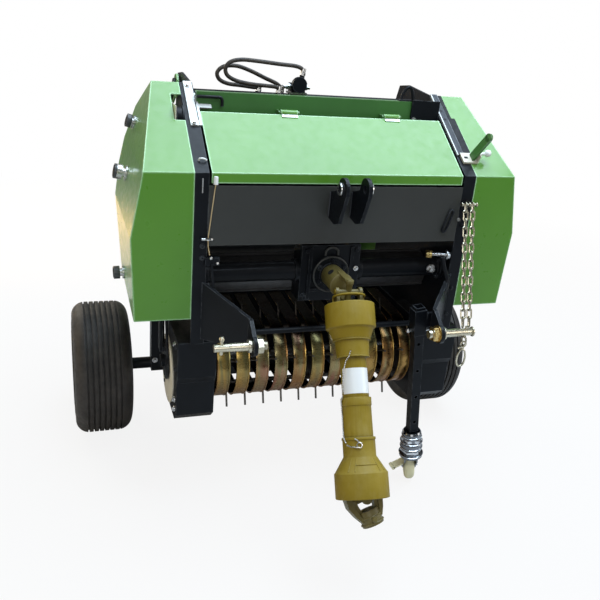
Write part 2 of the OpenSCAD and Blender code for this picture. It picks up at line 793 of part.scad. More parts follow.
// A band: round front and two straight legs to the rails behind the tines
module band_section(grow) {
    r = band_r + grow;
    intersection() {
        translate([reel_y, reel_z]) circle(r = r);
        translate([reel_y - 200, reel_z - 200]) square([200, 400]);
    }
    polygon([[reel_y, reel_z + r], [reel_y, reel_z - r], [rail_low[0], rail_low[1] - grow],
        [rail_top[0], rail_top[1] + grow]]);
}

module pickup_bands() {
    color("#9a8a55") for (i = [0:band_count - 1])
        side_plate((i - (band_count - 1) / 2) * band_pitch - band_w / 2, band_w) difference() {
            band_section(0);
            band_section(-band_t);
            translate([rail_low[0], rail_low[1] - rail_w]) square([100, rail_top[1] - rail_low[1]]);
            translate([rail_top[0], rail_low[1]]) square([100, 2 * rail_top[1]]);
        }
}

reel_shaft_r = 20;
rail_t = 6;
// Sheet behind the reel, from the lower rail to the upper one
pan_lap = 2;
pan_low = rail_low + [0, 4 - pan_lap];
pan_top = rail_top + [0, 4 - rail_w + pan_lap];
module pickup_frame() {
    color("#16181c") union() {
        both() difference() {
            union() {
                side_plate(housing_in, housing_out - housing_in) polygon([
                    [20, 300], [50, 272], [200, 272], [226, 300], [226, wall_low], [8, wall_low],
                    [8, 420], [20, 400]]);
                side_plate(housing_in, 5) polygon([
                    [100, 272], [rail_low[0] + 10, rail_low[1] - 20], [rail_top[0] + 15, rail_top[1] - 30],
                    [rail_top[0] + 15, wall_low], [100, wall_low]]);
            }
            cross_bar(housing_in - 1, 60, reel_y, reel_z, reel_shaft_r + run_clear);
        }
        for (r = [rail_top, rail_low])
            translate([-housing_in - 1, r[0], r[1] - rail_w + 4])
                cube([2 * housing_in + 2, rail_t, rail_w]);
        side_plate(-housing_in, 2 * housing_in) polygon([
            pan_low, pan_top, pan_top + [rail_t, 0], pan_low + [rail_t, 0]]);
    }
}

module pickup_reel() {
    tine_half = (band_count - 2) / 2 * band_pitch;
    color("#2a2a2a") union() {
        cross_bar(-housing_in - 50, 2 * housing_in + 100, reel_y, reel_z, reel_shaft_r);
        for (x = [-band_half, -4, band_half - 8]) cross_bar(x, 8, reel_y, reel_z, bar_ring_r + 10);
        for (k = [0:3]) {
            a = tine_phase + 90 * k;
            bar = [reel_y + bar_ring_r * cos(a), reel_z + bar_ring_r * sin(a)];
            cross_bar(-band_half, 2 * band_half, bar[0], bar[1], 7);
            for (i = [0:band_count - 2]) translate([i * band_pitch - tine_half, reel_y, reel_z])
                rotate([a - 90, 0, 0]) translate([0, 0, bar_ring_r])
                    cylinder(h = tine_tip_r - bar_ring_r, r = tine_r);
        }
    }
}

// Rollers

module roller(i, stub_end) {
    p = roller_at(i);
    color("#5d6063") translate([0, p[0], p[1]]) rotate([0, 90, 0]) union() {
        translate([0, 0, -roller_half]) linear_extrude(2 * roller_half) difference() {
            union() {
                circle(r = roller_r);
                for (k = [0:rib_count - 1]) rotate(360 * k / rib_count)
                    translate([roller_r - 1, -rib_w / 2]) square([rib_h + 1, rib_w]);
            }
            circle(r = roller_r - roller_wall);
        }
        for (s = [-1, 1]) translate([0, 0, s * (roller_half - 6) - 6]) difference() {
            cylinder(h = 12, r = roller_r - 1);
            for (k = [0:3]) rotate(90 * k + 45) translate([roller_r * 0.62, 0, -1]) cylinder(h = 14, r = 8);
        }
        for (s = [-1, 1]) translate([0, 0, s > 0 ? roller_half - 10 : -stub_end])
            cylinder(h = stub_end - roller_half + 10, r = roller_shaft_r);
    }
}

// Gate

module gate_outline() {
    intersection() {
        translate([chamber_y, chamber_z]) circle(r = gate_r);
        translate([gate_front, chamber_z - gate_r]) square([gate_r, 2 * gate_r]);
    }
    polygon([[gate_hinge_y - 12, gate_hinge_z + 28], [gate_hinge_y + 10, gate_hinge_z - 30],
        [gate_front, gate_hinge_z - 60],
        [gate_front + 40, gate_hinge_z - 80], [gate_front + 60, gate_hinge_z - 40]]);
    translate([gate_hinge_y, gate_hinge_z]) circle(r = gate_ear_r);
}

module gate_plates() {
    color("#3f7a2a") both() difference() {
        union() {
            side_plate(gate_in, wall_t) gate_outline();
            for (i = gate_rollers)
                cross_bar(gate_in - gate_bearing_t, gate_bearing_t, roller_at(i)[0], roller_at(i)[1], bearing_r);
            cross_bar(gate_out, ram_x - ram_eye_w / 2 - slide_clear - gate_out, ram_top_y, ram_top_z, 30);
        }
        for (i = gate_rollers)
            cross_bar(gate_in - 20, 40, roller_at(i)[0], roller_at(i)[1], roller_shaft_r + run_clear);
        cross_bar(gate_in - 1, wall_t + 2, gate_hinge_y, gate_hinge_z, gate_pin_r + run_clear);
    }
}

gate_brace_degs = [312, 343, 16, 50];
gate_brace_r = 16;
module gate_braces() {
    color("#1b1d20") for (a = gate_brace_degs)
        cross_bar(-gate_in, 2 * gate_in, ring_at(a, gate_r - 24)[0], ring_at(a, gate_r - 24)[1], gate_brace_r);
}

// Gate cylinders, each drawn along Z from its lower pin

module along_ram() {
    translate([ram_x, ram_y, ram_z]) rotate([ram_deg - 90, 0, 0]) children();
}

module barrel() {
    color("#23262a") along_ram() difference() {
        union() {
            rotate([0, 90, 0]) translate([0, 0, -ram_eye_w / 2]) cylinder(h = ram_eye_w, r = ram_eye_r);
            translate([0, 0, ram_eye_r - 4])
                cylinder(h = ram_len - gland_len - ram_eye_r + 4 - 20, r = barrel_r);
            translate([0, 0, ram_len - gland_len - 20 - 30]) cylinder(h = 30, r = barrel_r + 3);
        }
        rotate([0, 90, 0]) translate([0, 0, -ram_eye_w])
            cylinder(h = 2 * ram_eye_w, r = ram_pin_r + run_clear);
        translate([0, 0, rod_inner_end - 10]) cylinder(h = ram_len, r = rod_r + slide_clear);
    }
}

module rod() {
    color("#b9bcc0") along_ram() union() {
        translate([0, 0, rod_inner_end]) cylinder(h = ram_len - rod_inner_end - 10, r = rod_r);
        translate([-ram_eye_w / 2, 0, ram_len]) rotate([0, 90, 0])
            cylinder(h = ram_eye_w, r = ram_eye_r - 2);
    }
}

// Wheels

arm_w = 40;
arm_wall = 4;
// Gap between the side wall and the arm
arm_gap = 29;
arm_x = wall_out + arm_gap + arm_w / 2;
arm_top = 556;
foot_y = 430;
foot_z = 494;
foot_h = 58;
foot_w = 62;
foot_t = 8;
axle_past = 40;
axle_collar = 46;
module axle_arm() {
    low = tyre_r - axle_r - arm_wall;
    union() {
        difference() {
            translate([arm_x - arm_w / 2, axle_y - arm_w / 2, low]) cube([arm_w, arm_w, arm_top - low]);
            translate([arm_x - arm_w / 2 + arm_wall, axle_y - arm_w / 2 + arm_wall, tyre_r + axle_r + 10])
                cube([arm_w - 2 * arm_wall, arm_w - 2 * arm_wall, arm_top]);
        }
        translate([wall_out, foot_y, foot_z]) cube([foot_t, foot_w, foot_h]);
        for (z = [foot_z, foot_z + foot_h - foot_t]) translate([wall_out, foot_y, z])
            cube([arm_x - arm_w / 2 + arm_wall - wall_out, foot_w, foot_t]);
        cross_bar(arm_x, track_half + axle_past - arm_x, axle_y, tyre_r, axle_r);
        cross_bar(track_half - axle_collar, 8, axle_y, tyre_r, axle_r + 8);
    }
}

module axle_arms() {
    color("#16181b") both() axle_arm();
}

module rounded_bar(w, h, r) {
    translate([r, 0]) square([w - 2 * r, h]);
    translate([0, r]) square([w, h - 2 * r]);
    for (x = [r, w - r], y = [r, h - r]) translate([x, y]) circle(r = r);
}

groove_w = 5;
groove_d = 7;
tyre_shoulder_r = 42;
module tyre() {
    tread_w = tyre_w - 2 * tyre_shoulder_r + 40;
    color("#2b2724") translate([track_half, axle_y, tyre_r]) rotate([0, 90, 0]) rotate_extrude()
        difference() {
        intersection() {
            translate([rim_r, -tyre_w / 2]) square([tyre_r - rim_r, tyre_w]);
            translate([tyre_r - 2 * tyre_shoulder_r - 90, -tyre_w / 2])
                rounded_bar(2 * tyre_shoulder_r + 90, tyre_w, tyre_shoulder_r);
        }
        for (k = [1:tread_ribs - 1])
            translate([tyre_r - groove_d, -tread_w / 2 + k * tread_w / tread_ribs - groove_w / 2])
            square([groove_d + 1, groove_w]);
    }
}

hub_half = 36;
module rim() {
    bore = axle_r + run_clear;
    edge = tyre_w / 2 - 14;
    color("#33363a") translate([track_half, axle_y, tyre_r]) rotate([0, 90, 0]) rotate_extrude() polygon([
        [bore, -hub_half], [bore + 15, -hub_half], [bore + 20, -hub_half + 6], [60, 4], [rim_r - 14, 8],
        [rim_r - 8, -edge],
        [rim_r, -edge], [rim_r, edge], [rim_r - 8, edge], [rim_r - 14, 20], [60, 12],
        [bore + 20, hub_half - 6],
        [bore + 15, hub_half], [bore, hub_half]]);
}

// Parking leg, drawn along Z from its foot on the floor

module along_leg() {
    translate([leg_foot_x, -leg_foot_fore, 0]) rotate([leg_back, -leg_lean, 0]) children();
}

module leg_sleeve() {
    in_w = leg_w + 2 * slide_clear;
    color("#1c2025") union() {
        along_leg() difference() {
            translate([-in_w / 2 - 4, -in_w / 2 - 4, leg_sleeve_z])
                cube([in_w + 8, in_w + 8, leg_sleeve_len]);
            translate([-in_w / 2, -in_w / 2, leg_sleeve_z - 1]) cube([in_w, in_w, leg_sleeve_len + 2]);
        }
        sleeve_bracket();
    }
}

// Flat bar from the sleeve to the right hitch plate
bracket_z = 562;
bracket_h = 44;
bracket_t = 8;
module sleeve_bracket() {
    in_w = leg_w + 2 * slide_clear;
    sleeve_x = leg_foot_x - bracket_z * tan(leg_lean) + in_w / 2 + 1.5;
    bracket_fore = leg_foot_fore + bracket_z * tan(leg_back) + in_w / 2 - 4;
    plate_x = plate_root_x - (bracket_fore + bracket_t) * tan(plate_turn) - plate_t / cos(plate_turn);
    translate([sleeve_x, -bracket_fore - bracket_t, bracket_z])
        cube([plate_x - sleeve_x, bracket_t, bracket_h]);
}

swivel_r = 7;
module leg() {
    color("#22262a") along_leg() difference() {
        translate([-leg_w / 2, -leg_w / 2, leg_tube_low]) cube([leg_w, leg_w, leg_tube_top - leg_tube_low]);
        translate([-leg_w / 2 + 3, -leg_w / 2 + 3, leg_tube_low + 40])
            cube([leg_w - 6, leg_w - 6, leg_tube_top]);
        for (z = [240, 330, 420, 510]) translate([0, 0, z]) rotate([90, 0, 0]) translate([0, 0, -50])
            cylinder(h = 100, r = 5);
        translate([0, 0, leg_tube_low - 1]) cylinder(h = 34, r = swivel_r + run_clear);
    }
}

trail = 36;
castor_turn = 20;
castor_w = 30;
fork_t = 4;
fork_gap = 2;
fork_top = 112;
fork_plate = 5;
castor_pin_r = 5;
castor_edge_r = 12;
// Round head over the fork: radius and height along the leg
head_outline = [[0, fork_top], [36, fork_top], [36, fork_top + 6], [29, fork_top + 9], [29, fork_top + 26],
    [33, fork_top + 29], [33, fork_top + 48], [29, fork_top + 51], [29, leg_tube_low - 8],
    [25, leg_tube_low - 2],
    [0, leg_tube_low - 2]];
// Height of the castor's axle along the leg that brings the leaning wheel down to the floor
castor_tilt = asin(cos(castor_turn) * sin(leg_lean) - sin(castor_turn) * sin(leg_back) * cos(leg_lean));
castor_reach = (castor_r - castor_edge_r) * cos(castor_tilt)
    + (castor_w / 2 - castor_edge_r) * abs(sin(castor_tilt)) + castor_edge_r;
castor_axle_h = ((castor_reach - trail * sin(castor_turn) * sin(leg_lean)) / cos(leg_lean)
    - trail * cos(castor_turn) * sin(leg_back)) / cos(leg_back);
module castor_fork() {
    cheek = castor_w / 2 + fork_gap;
    color("#b8bcc2") along_leg() rotate([0, 0, -castor_turn]) union() {
        translate([0, 0, fork_top]) cylinder(h = leg_tube_low + 30 - fork_top, r = swivel_r);
        rotate_extrude() polygon(head_outline);
        for (s = [-1, 1]) translate([s * (cheek + fork_t / 2) - fork_t / 2, 0, 0]) rotate([90, 0, 90])
            linear_extrude(fork_t) polygon([
                [-18, fork_top], [28, fork_top], [trail + 12, castor_axle_h + 10],
                [trail + 12, castor_axle_h - 8],
                [trail - 12, castor_axle_h - 8], [-18, fork_top - 22]]);
        translate([-cheek - fork_t, -18, fork_top - fork_plate])
            cube([2 * (cheek + fork_t), 46, fork_plate + 1]);
        translate([-cheek - fork_t, trail, castor_axle_h]) rotate([0, 90, 0])
            cylinder(h = 2 * (cheek + fork_t), r = castor_pin_r);
    }
}

module castor_wheel() {
    color("#d9d2ae") along_leg() rotate([0, 0, -castor_turn]) translate([0, trail, castor_axle_h])
        rotate([0, 90, 0])
        rotate_extrude() difference() {
            translate([0, -castor_w / 2]) rounded_bar(castor_r, castor_w, castor_edge_r);
            translate([-10, -50]) square([10 + castor_pin_r + run_clear, 100]);
        }
}

// Small pieces

hose_feet = [hose_1[len(hose_1) - 1], hose_2[0], hose_2[len(hose_2) - 1]];
module valve() {
    color("#2b2d30") difference() {
        union() {
            translate([-70, tube_y - 16, tube_z]) cube([40, 32, tube_r + 28]);
            translate([-50, tube_y - 14, tube_z + tube_r + 26]) rotate([90, 0, 0]) cylinder(h = 14, r = 21);
            translate([hose_1[0][0], hose_1[0][1], tube_z + tube_r + 20])
                cylinder(h = hose_1[0][2] - tube_z - tube_r - 20, r = 7);
            for (p = hose_feet) translate([p[0], p[1], tube_z]) cylinder(h = p[2] - tube_z, r = 8);
        }
        cross_bar(-half_w, chamber_w, tube_y, tube_z, tube_r);
        translate([-half_w, tube_y - 30, tube_z - 40]) cube([chamber_w, 60, 46]);
    }
}

module hoses() {
    color("#2a2320") union() {
        swept_tube(hose_1, hose_r, hose_sides);
        swept_tube(hose_2, hose_r, hose_sides);
    }
}

// The slope's own frame: Y runs up the slope, Z stands on it
module on_slope() {
    translate([0, 0, crease_z]) rotate([slope_deg, 0, 0]) children();
}

module density_lever() {
    color("#d8d3c0") on_slope() union() {
        translate([post_x - 24, 46, 0]) cube([44, 34, 5]);
        translate([post_x + 2, 52, 4]) rotate([0, 12, 0]) cube([6, 22, 80]);
    }
}

// Knobs of the covers: distance to the rear, height, radius, length
knob_table = [[343, 1038, 18, 22], [267, 916, 20, 34], [250, 640, 18, 28]];
function cover_x(z) = z < cover_bend_z
    ? cover_low_x + (cover_bend_x - cover_low_x) * (z - cover_low) / (cover_bend_z - cover_low)
    : z < crease_z
    ? cover_bend_x + (cover_crease_x - cover_bend_x) * (z - cover_bend_z) / (crease_z - cover_bend_z)
    : cover_crease_x + (cover_top_x - cover_crease_x) * (z - crease_z) / (slope_top_z - crease_z);
function cover_lean(z) = atan((cover_x(z) - cover_x(z + 1)) / 1);
module cover_knobs() {
    color("#8b8f92") both() for (k = knob_table)
        translate([cover_x(k[1]), k[0], k[1]]) rotate([0, 90 - cover_lean(k[1]), 0]) union() {
            cylinder(h = k[3], r = k[2] * 0.55);
            translate([0, 0, k[3] * 0.4]) cylinder(h = k[3] * 0.6, r = k[2]);
            cylinder(h = 4, r = k[2]);
        }
}

eyelet_z = 817;
module twine_guides() {
    color("#1c1d1f") union() {
        bent_rod([[-half_w - 15, -9, eyelet_z], [twine_line[len(twine_line) - 1][0] + 3, -9, eyelet_z]], 3);
        bent_rod([[-half_w - 15, 0, eyelet_z], [-half_w - 15, -9, eyelet_z]], 3);
        bent_rod([[-half_w, beam_y - 4, beam_z + 40], [-half_w + 60, beam_y - 4, beam_z + 40]], 4);
    }
}

module twine() {
    color("#c3a878") swept_tube(twine_line, twine_r, twine_sides);
}

// Chains: each strand hangs from its pin on the right post and rests on the right link pin's nose
link_wire_r = 2.2;
link_in_w = 7.5;
link_pitch = 22;
link_play = 1.7;
chain_fore = 14;
chain_top_z = 906;
// First link's inner end above its pin's axis, and last link's gap to the link pin
chain_seat = 4;
chain_rest = 0.5;
// Sideways places of the strands' upper and lower ends
chain_table = [[358, 328], [380, 347]];
module stadium(len, w) {
    square([w, len - w], center = true);
    for (e = [-1, 1]) translate([0, e * (len - w) / 2]) circle(d = w);
}

module chain_link(in_len) {
    wire = 2 * link_wire_r;
    rotate([90, 0, 0]) translate([0, 0, -link_wire_r]) linear_extrude(wire) difference() {
        stadium(in_len + 2 * wire, link_in_w + 2 * wire);
        stadium(in_len, link_in_w);
    }
}

module hitch_chains() {
    start = link_play / 2 - chain_seat;
    color("#c8bfa4") for (c = chain_table) {
        top = [c[0], -chain_fore, chain_top_z];
        d = [c[1], -link_fore, link_z] - top;
        run = norm(d) - nose_r - chain_rest - 2 * link_wire_r - link_play / 2 - start;
        count = round(run / link_pitch);
        pitch = run / count;
        translate(top) rotate([0, acos(d[2] / norm(d)), atan2(d[1], d[0])])
            for (i = [0:count - 1])
                translate([0, 0, start + pitch * (i + 0.5)]) rotate(90 * (i % 2))
                    chain_link(pitch + link_play);
    }
}

module placed() {
    translate([0, -origin_y, 0]) children();
}

placed() side_walls();
placed() cover_left();
placed() cover_right();
placed() front_panel();
placed() lid();
placed() cross_beam();
placed() top_tube();
placed() gearbox();
placed() drive_tubes();
placed() input_yoke();
placed() top_link_ears();
placed() hitch_plates();
placed() link_pins();
placed() guard_bar();
placed() pickup_bands();
placed() pickup_frame();
placed() pickup_reel();
for (k = [0:len(front_rollers) - 1])
    placed()
        roller(front_rollers[k], wall_out + bearing_t);
for (k = [0:len(gate_rollers) - 1])
    placed() roller(gate_rollers[k], gate_out);
placed() gate_plates();
placed() gate_braces();
placed() mirror([1, 0, 0]) barrel();  // barrel_left
placed() mirror([1, 0, 0]) rod();  // rod_left
placed() barrel();  // barrel_right
placed() rod();  // rod_right
placed() axle_arms();
placed() mirror([1, 0, 0]) tyre();  // tyre_left
placed() mirror([1, 0, 0]) rim();  // rim_left
placed() tyre();  // tyre_right
placed() rim();  // rim_right
placed() leg_sleeve();
placed() leg();
placed() castor_fork();
placed() castor_wheel();
placed() upper_guard();
placed() upper_yoke();
placed() lower_guard();
placed() lower_yoke();
placed() valve();
placed() hoses();
placed() density_lever();
placed() cover_knobs();
placed() twine_guides();
placed() twine();
placed() hitch_chains();
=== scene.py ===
import json
from functools import partial
from math import atan2, cos, pi, radians, sin

import bpy
from mathutils import Matrix, Vector


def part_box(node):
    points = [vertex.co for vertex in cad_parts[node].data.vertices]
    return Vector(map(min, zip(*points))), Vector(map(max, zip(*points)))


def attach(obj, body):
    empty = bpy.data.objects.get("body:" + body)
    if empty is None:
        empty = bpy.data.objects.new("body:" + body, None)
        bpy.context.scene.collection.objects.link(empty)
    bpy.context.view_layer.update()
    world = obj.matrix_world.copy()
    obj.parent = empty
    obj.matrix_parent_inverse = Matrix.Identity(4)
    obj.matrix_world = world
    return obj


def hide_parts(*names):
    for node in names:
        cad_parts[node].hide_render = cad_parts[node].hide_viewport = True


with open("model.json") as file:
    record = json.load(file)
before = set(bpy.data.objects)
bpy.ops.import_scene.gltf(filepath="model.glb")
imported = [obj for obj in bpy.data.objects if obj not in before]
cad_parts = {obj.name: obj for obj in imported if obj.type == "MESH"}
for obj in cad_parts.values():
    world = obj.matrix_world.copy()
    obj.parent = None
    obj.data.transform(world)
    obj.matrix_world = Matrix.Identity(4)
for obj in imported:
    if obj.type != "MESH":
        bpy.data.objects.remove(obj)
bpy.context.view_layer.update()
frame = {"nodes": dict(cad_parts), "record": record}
scene = bpy.context.scene
joint = {j["name"]: j for j in frame["record"]["behaviour"]["joints"]}
slot_of = {s["node"]: s["material_slot"] for s in frame["record"]["subparts"]}

X, Y, Z = Vector((1, 0, 0)), Vector((0, 1, 0)), Vector((0, 0, 1))
SIDES = (("left", -1), ("right", 1))

# Distance of the model's origin behind the front plane of the covers, in metres
ORIGIN_Y = -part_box("side_walls")[0].y


def P(x, y, z):
    """A point given from the front plane of the covers."""
    return Vector((x, y - ORIGIN_Y, z))


def show(name, data):
    """A new object in the scene."""
    obj = bpy.data.objects.new(name, data)
    scene.collection.objects.link(obj)
    return obj


# Materials, by name

MATERIALS = {}

# Noise scales of the finest grain: orange peel, rubber pores, scratches, streaks of polish
PEEL_GRAIN, PORE_GRAIN, SCRATCH_GRAIN, POLISH_GRAIN = 420, 190, 260, 60
# Heights between which the bands turn from brown to plated
BAND_LOW, BAND_HIGH = 0.29, 0.44


def put(tree, socket, value):
    """Sets an input to a value, or links it to another node's output."""
    if isinstance(value, bpy.types.NodeSocket):
        tree.links.new(value, socket)
    else:
        socket.default_value = value


def add_node(tree, kind, values=None, **settings):
    """A new node with its settings, and with its inputs set to values or linked to other nodes."""
    n = tree.nodes.new("ShaderNode" + kind)
    for key, value in settings.items():
        setattr(n, key, value)
    for key, value in (values or {}).items():
        put(tree, n.inputs[key], value)
    return n


class Graph:
    """A material's node tree with short calls for the nodes it needs."""

    def __init__(self, name):
        mat = bpy.data.materials.new(name)
        mat.use_nodes = True
        MATERIALS[name] = mat
        self.tree = mat.node_tree
        self.shader = self.tree.nodes["Principled BSDF"]
        self.coords = self.node("TexCoord").outputs["Object"]

    def node(self, kind, values=None, **settings):
        return add_node(self.tree, kind, values, **settings)

    def set(self, socket, value):
        put(self.tree, self.shader.inputs[socket], value)

    def noise(self, scale, detail=4, rough=0.55, stretch=None, distort=0):
        at = self.coords
        if stretch:
            at = self.node("Mapping", {"Vector": at, "Scale": stretch}).outputs["Vector"]
        values = {"Vector": at, "Scale": scale, "Detail": detail, "Roughness": rough, "Distortion": distort}
        return self.node("TexNoise", values).outputs["Fac"]

    def spread(self, value, low, high, to_low=0, to_high=1):
        values = {"Value": value, "From Min": low, "From Max": high, "To Min": to_low, "To Max": to_high}
        return self.node("MapRange", values).outputs["Result"]

    def math(self, kind, a, b):
        return self.node("Math", {0: a, 1: b}, operation=kind).outputs[0]

    def ramp(self, value, stops):
        n = self.node("ValToRGB", {"Fac": value})
        e = n.color_ramp.elements
        while len(e) < len(stops):
            e.new(0.5)
        for k, (at, rgb) in enumerate(stops):
            e[k].position = at
            e[k].color = (*rgb, 1)
        return n.outputs["Color"]

    def mix(self, share, a, b):
        """Colours a and b, each from a node or plain, mixed by the share of b."""
        n = self.node("Mix", {"Factor": share}, data_type="RGBA")
        for socket, color in zip([i for i in n.inputs if i.type == "RGBA"], (a, b)):
            put(self.tree, socket, (*color, 1) if isinstance(color, tuple) else color)
        return next(o for o in n.outputs if o.type == "RGBA")

    def height(self, what):
        """The upward part of the surface's place or normal."""
        vector = self.node("NewGeometry").outputs[what]
        return self.node("SeparateXYZ", {"Vector": vector}).outputs["Z"]

    def upward(self):
        """1 on faces that look up, 0 on walls and undersides."""
        return self.spread(self.height("Normal"), 0.15, 0.95)

    def edges(self, radius, low=0.8, high=0.995):
        """1 along convex and concave edges, 0 on flats."""
        flat = self.node("NewGeometry").outputs["Normal"]
        bent = self.node("Bevel", {"Radius": radius}, samples=4).outputs["Normal"]
        turned = self.node("VectorMath", {0: flat, 1: bent}, operation="DOT_PRODUCT").outputs["Value"]
        return self.spread(turned, low, high, 1, 0)

    def corners(self, reach):
        """1 deep in the piece's own inside corners, 0 on open faces."""
        n = self.node("AmbientOcclusion", {"Distance": reach}, samples=8, only_local=True)
        return self.spread(n.outputs["AO"], 0.62, 0.985, 1, 0)

    def bump(self, value, strength, distance):
        n = self.node("Bump", {"Height": value, "Strength": strength, "Distance": distance})
        self.set("Normal", n.outputs["Normal"])


def tint(rgb, k):
    return tuple(min(1, c * k) for c in rgb)


def coated(name, base, rough=0.38, coat=0, coat_rough=0.12, vary=0.16, peel=0.05, scale=5, metallic=0,
           streak=0, shine=0.35, dust=0, dust_rgb=(0.42, 0.37, 0.28), wear=0, wear_rgb=None,
           edge_highlight=0, edge_highlight_rgb=None, grime_and_shade=0, corner_shade_rgb=None):
    """Paint or plastic: cloudy colour, run marks, dust, rubbed edges, a painted highlight along the edges,
    painted shade in inside corners and orange peel.
    """
    g = Graph(name)
    clouds = [(0.25, tint(base, 1 - vary)), (0.5, base), (0.78, tint(base, 1 + vary))]
    color = g.ramp(g.noise(scale, 5), clouds)
    rough_map = g.spread(g.noise(scale * 17, 3), 0.3, 0.7, rough - 0.07, rough + 0.09)
    if streak:
        runs = g.noise(9, 5, 0.6, (6, 6, 0.35))
        color = g.mix(g.spread(runs, 0.52, 0.78, 0, streak), color, dust_rgb)
    if dust:
        patches = g.spread(g.noise(scale * 4, 6, 0.65), 0.32, 0.72, 0.25 * dust, dust)
        lie = g.math("MULTIPLY", g.upward(), patches)
        color = g.mix(lie, color, dust_rgb)
        rough_map = g.math("ADD", rough_map, g.math("MULTIPLY", lie, 0.25))
    if wear:
        chips = g.spread(g.noise(38, 4), 0.4, 0.62, 0, wear)
        color = g.mix(g.math("MULTIPLY", g.edges(0.004), chips), color, wear_rgb)
    # Painted highlight: a pale colour along the sharpest edges
    if edge_highlight:
        color = g.mix(g.math("MULTIPLY", g.edges(0.0055, 0.93, 0.996), edge_highlight), color, edge_highlight_rgb)
    # Painted shade: darker deep in the piece's own inside corners and steps
    if grime_and_shade:
        color = g.mix(g.math("MULTIPLY", g.corners(0.018), grime_and_shade), color, corner_shade_rgb)
    g.set("Base Color", color)
    g.set("Roughness", rough_map)
    g.set("Metallic", metallic)
    g.set("Specular IOR Level", shine)
    if coat:
        g.set("Coat Weight", coat)
        g.set("Coat Roughness", coat_rough)
    g.bump(g.noise(PEEL_GRAIN, 2), peel, 0.0006)


def metal(name, stops, rough=0.32, rough_vary=0.1, scale=7, stretch=None, scratch=0.06, metallic=1,
          dirt=0.35, dirt_rgb=(0.06, 0.05, 0.04), top_shade=0, low_rgb=None):
    """Bare or plated metal: clouds of colour, grime in patches, painted shade on faces that look up, and fine
    scratches.
    """
    g = Graph(name)
    color = g.ramp(g.noise(scale, 4, 0.5, stretch, 0.4), stops)
    grime_and_shade = g.spread(g.noise(scale * 3.1, 6, 0.68), 0.52, 0.8, 0, dirt)
    color = g.mix(grime_and_shade, color, dirt_rgb)
    if low_rgb:
        z = g.height("Position")
        color = g.mix(g.spread(z, BAND_LOW, BAND_HIGH, 0.75, 0), color, low_rgb)
    # Painted shade: faces that look up are turned darker
    if top_shade:
        color = g.mix(g.spread(g.upward(), 0.35, 0.9, 0, top_shade), color, tint(dirt_rgb, 0.25))
    g.set("Base Color", color)
    polish = g.noise(POLISH_GRAIN, 4, 0.6, (1, 9, 1))
    rough_map = g.spread(polish, 0.3, 0.7, rough - rough_vary, rough + rough_vary)
    g.set("Roughness", g.math("ADD", rough_map, g.math("MULTIPLY", grime_and_shade, 0.3)))
    g.set("Metallic", metallic)
    g.bump(g.noise(SCRATCH_GRAIN, 3, 0.6, (1, 6, 1)), scratch, 0.0008)


def rubber(name, base, dust_rgb, dust, scale=14, rough=0.72):
    """Rubber or fibre: dry patches and fine pores."""
    g = Graph(name)
    dry = g.spread(g.noise(scale, 7, 0.7), 0.36, 0.7, 0, dust)
    g.set("Base Color", g.mix(dry, base, dust_rgb))
    rough_map = g.spread(g.noise(scale * 6, 4), 0.3, 0.7, rough - 0.1, rough + 0.12)
    g.set("Roughness", rough_map)
    g.set("Specular IOR Level", 0.34)
    g.bump(g.noise(PORE_GRAIN, 5, 0.7), 0.18, 0.0012)


def two_tone(dark, light):
    return [(0.3, dark), (0.7, light)]


# Green paint: the pale rims along its folds are a painted highlight, and the pale green of its rubbed edges
# is partly edge wear, partly a painted highlight
coated("green_paint", (0.078, 0.228, 0.017), rough=0.34, coat=0.3, coat_rough=0.1, vary=0.1, peel=0.03,
       scale=3, dust=0.05, dust_rgb=(0.5, 0.56, 0.4), wear=0.4, wear_rgb=(0.34, 0.5, 0.26), edge_highlight=0.85,
       edge_highlight_rgb=(0.5, 0.78, 0.48))
coated("dark_green_paint", (0.038, 0.135, 0.026), rough=0.42, coat=0.5, coat_rough=0.16, vary=0.14,
       dust=0.2, wear=0.5, wear_rgb=(0.2, 0.3, 0.16))
coated("black_paint", (0.0048, 0.006, 0.0082), rough=0.4, coat=0.06, coat_rough=0.18, vary=0.22,
       scale=7, shine=0.12, dust=0.08, dust_rgb=(0.12, 0.11, 0.1), wear=0.65,
       wear_rgb=(0.13, 0.14, 0.15))
coated("panel_paint", (0.03, 0.031, 0.028), rough=0.42, coat=0.12, coat_rough=0.22, scale=4, dust=0.1,
       dust_rgb=(0.17, 0.15, 0.12), wear=0.5, wear_rgb=(0.14, 0.14, 0.13))
# Roller steel: darkened overall, partly as painted shade of the chamber's inside
metal("roller_steel",
      [(0.3, (0.05, 0.05, 0.053)), (0.55, (0.085, 0.085, 0.088)), (0.8, (0.108, 0.106, 0.104))],
      rough=0.48, rough_vary=0.03, dirt=0.5, dirt_rgb=(0.03, 0.029, 0.028), scratch=0.012, metallic=0.5)
metal("zinc",
      [(0.22, (0.21, 0.165, 0.05)), (0.42, (0.44, 0.3, 0.085)), (0.56, (0.36, 0.19, 0.07)),
       (0.7, (0.22, 0.22, 0.085)), (0.86, (0.32, 0.17, 0.14))],
      rough=0.3, scale=9, dirt=0.4)
metal("tine_steel", two_tone((0.07, 0.065, 0.06), (0.17, 0.15, 0.13)), rough=0.42, dirt=0.5,
      dirt_rgb=(0.09, 0.055, 0.03))
metal("bright_steel", two_tone((0.6, 0.61, 0.63), (0.8, 0.81, 0.83)), rough=0.16, rough_vary=0.06,
      dirt=0.25, dirt_rgb=(0.16, 0.15, 0.14), scratch=0.03)
rubber("tyre_rubber", (0.0165, 0.0148, 0.0136), (0.074, 0.062, 0.052), 0.58, rough=0.58)
coated("castor_plastic", (0.82, 0.78, 0.5), rough=0.45, coat=0.15, coat_rough=0.3, vary=0.1, peel=0.04,
       dust=0.1, dust_rgb=(0.3, 0.25, 0.18), streak=0.1)
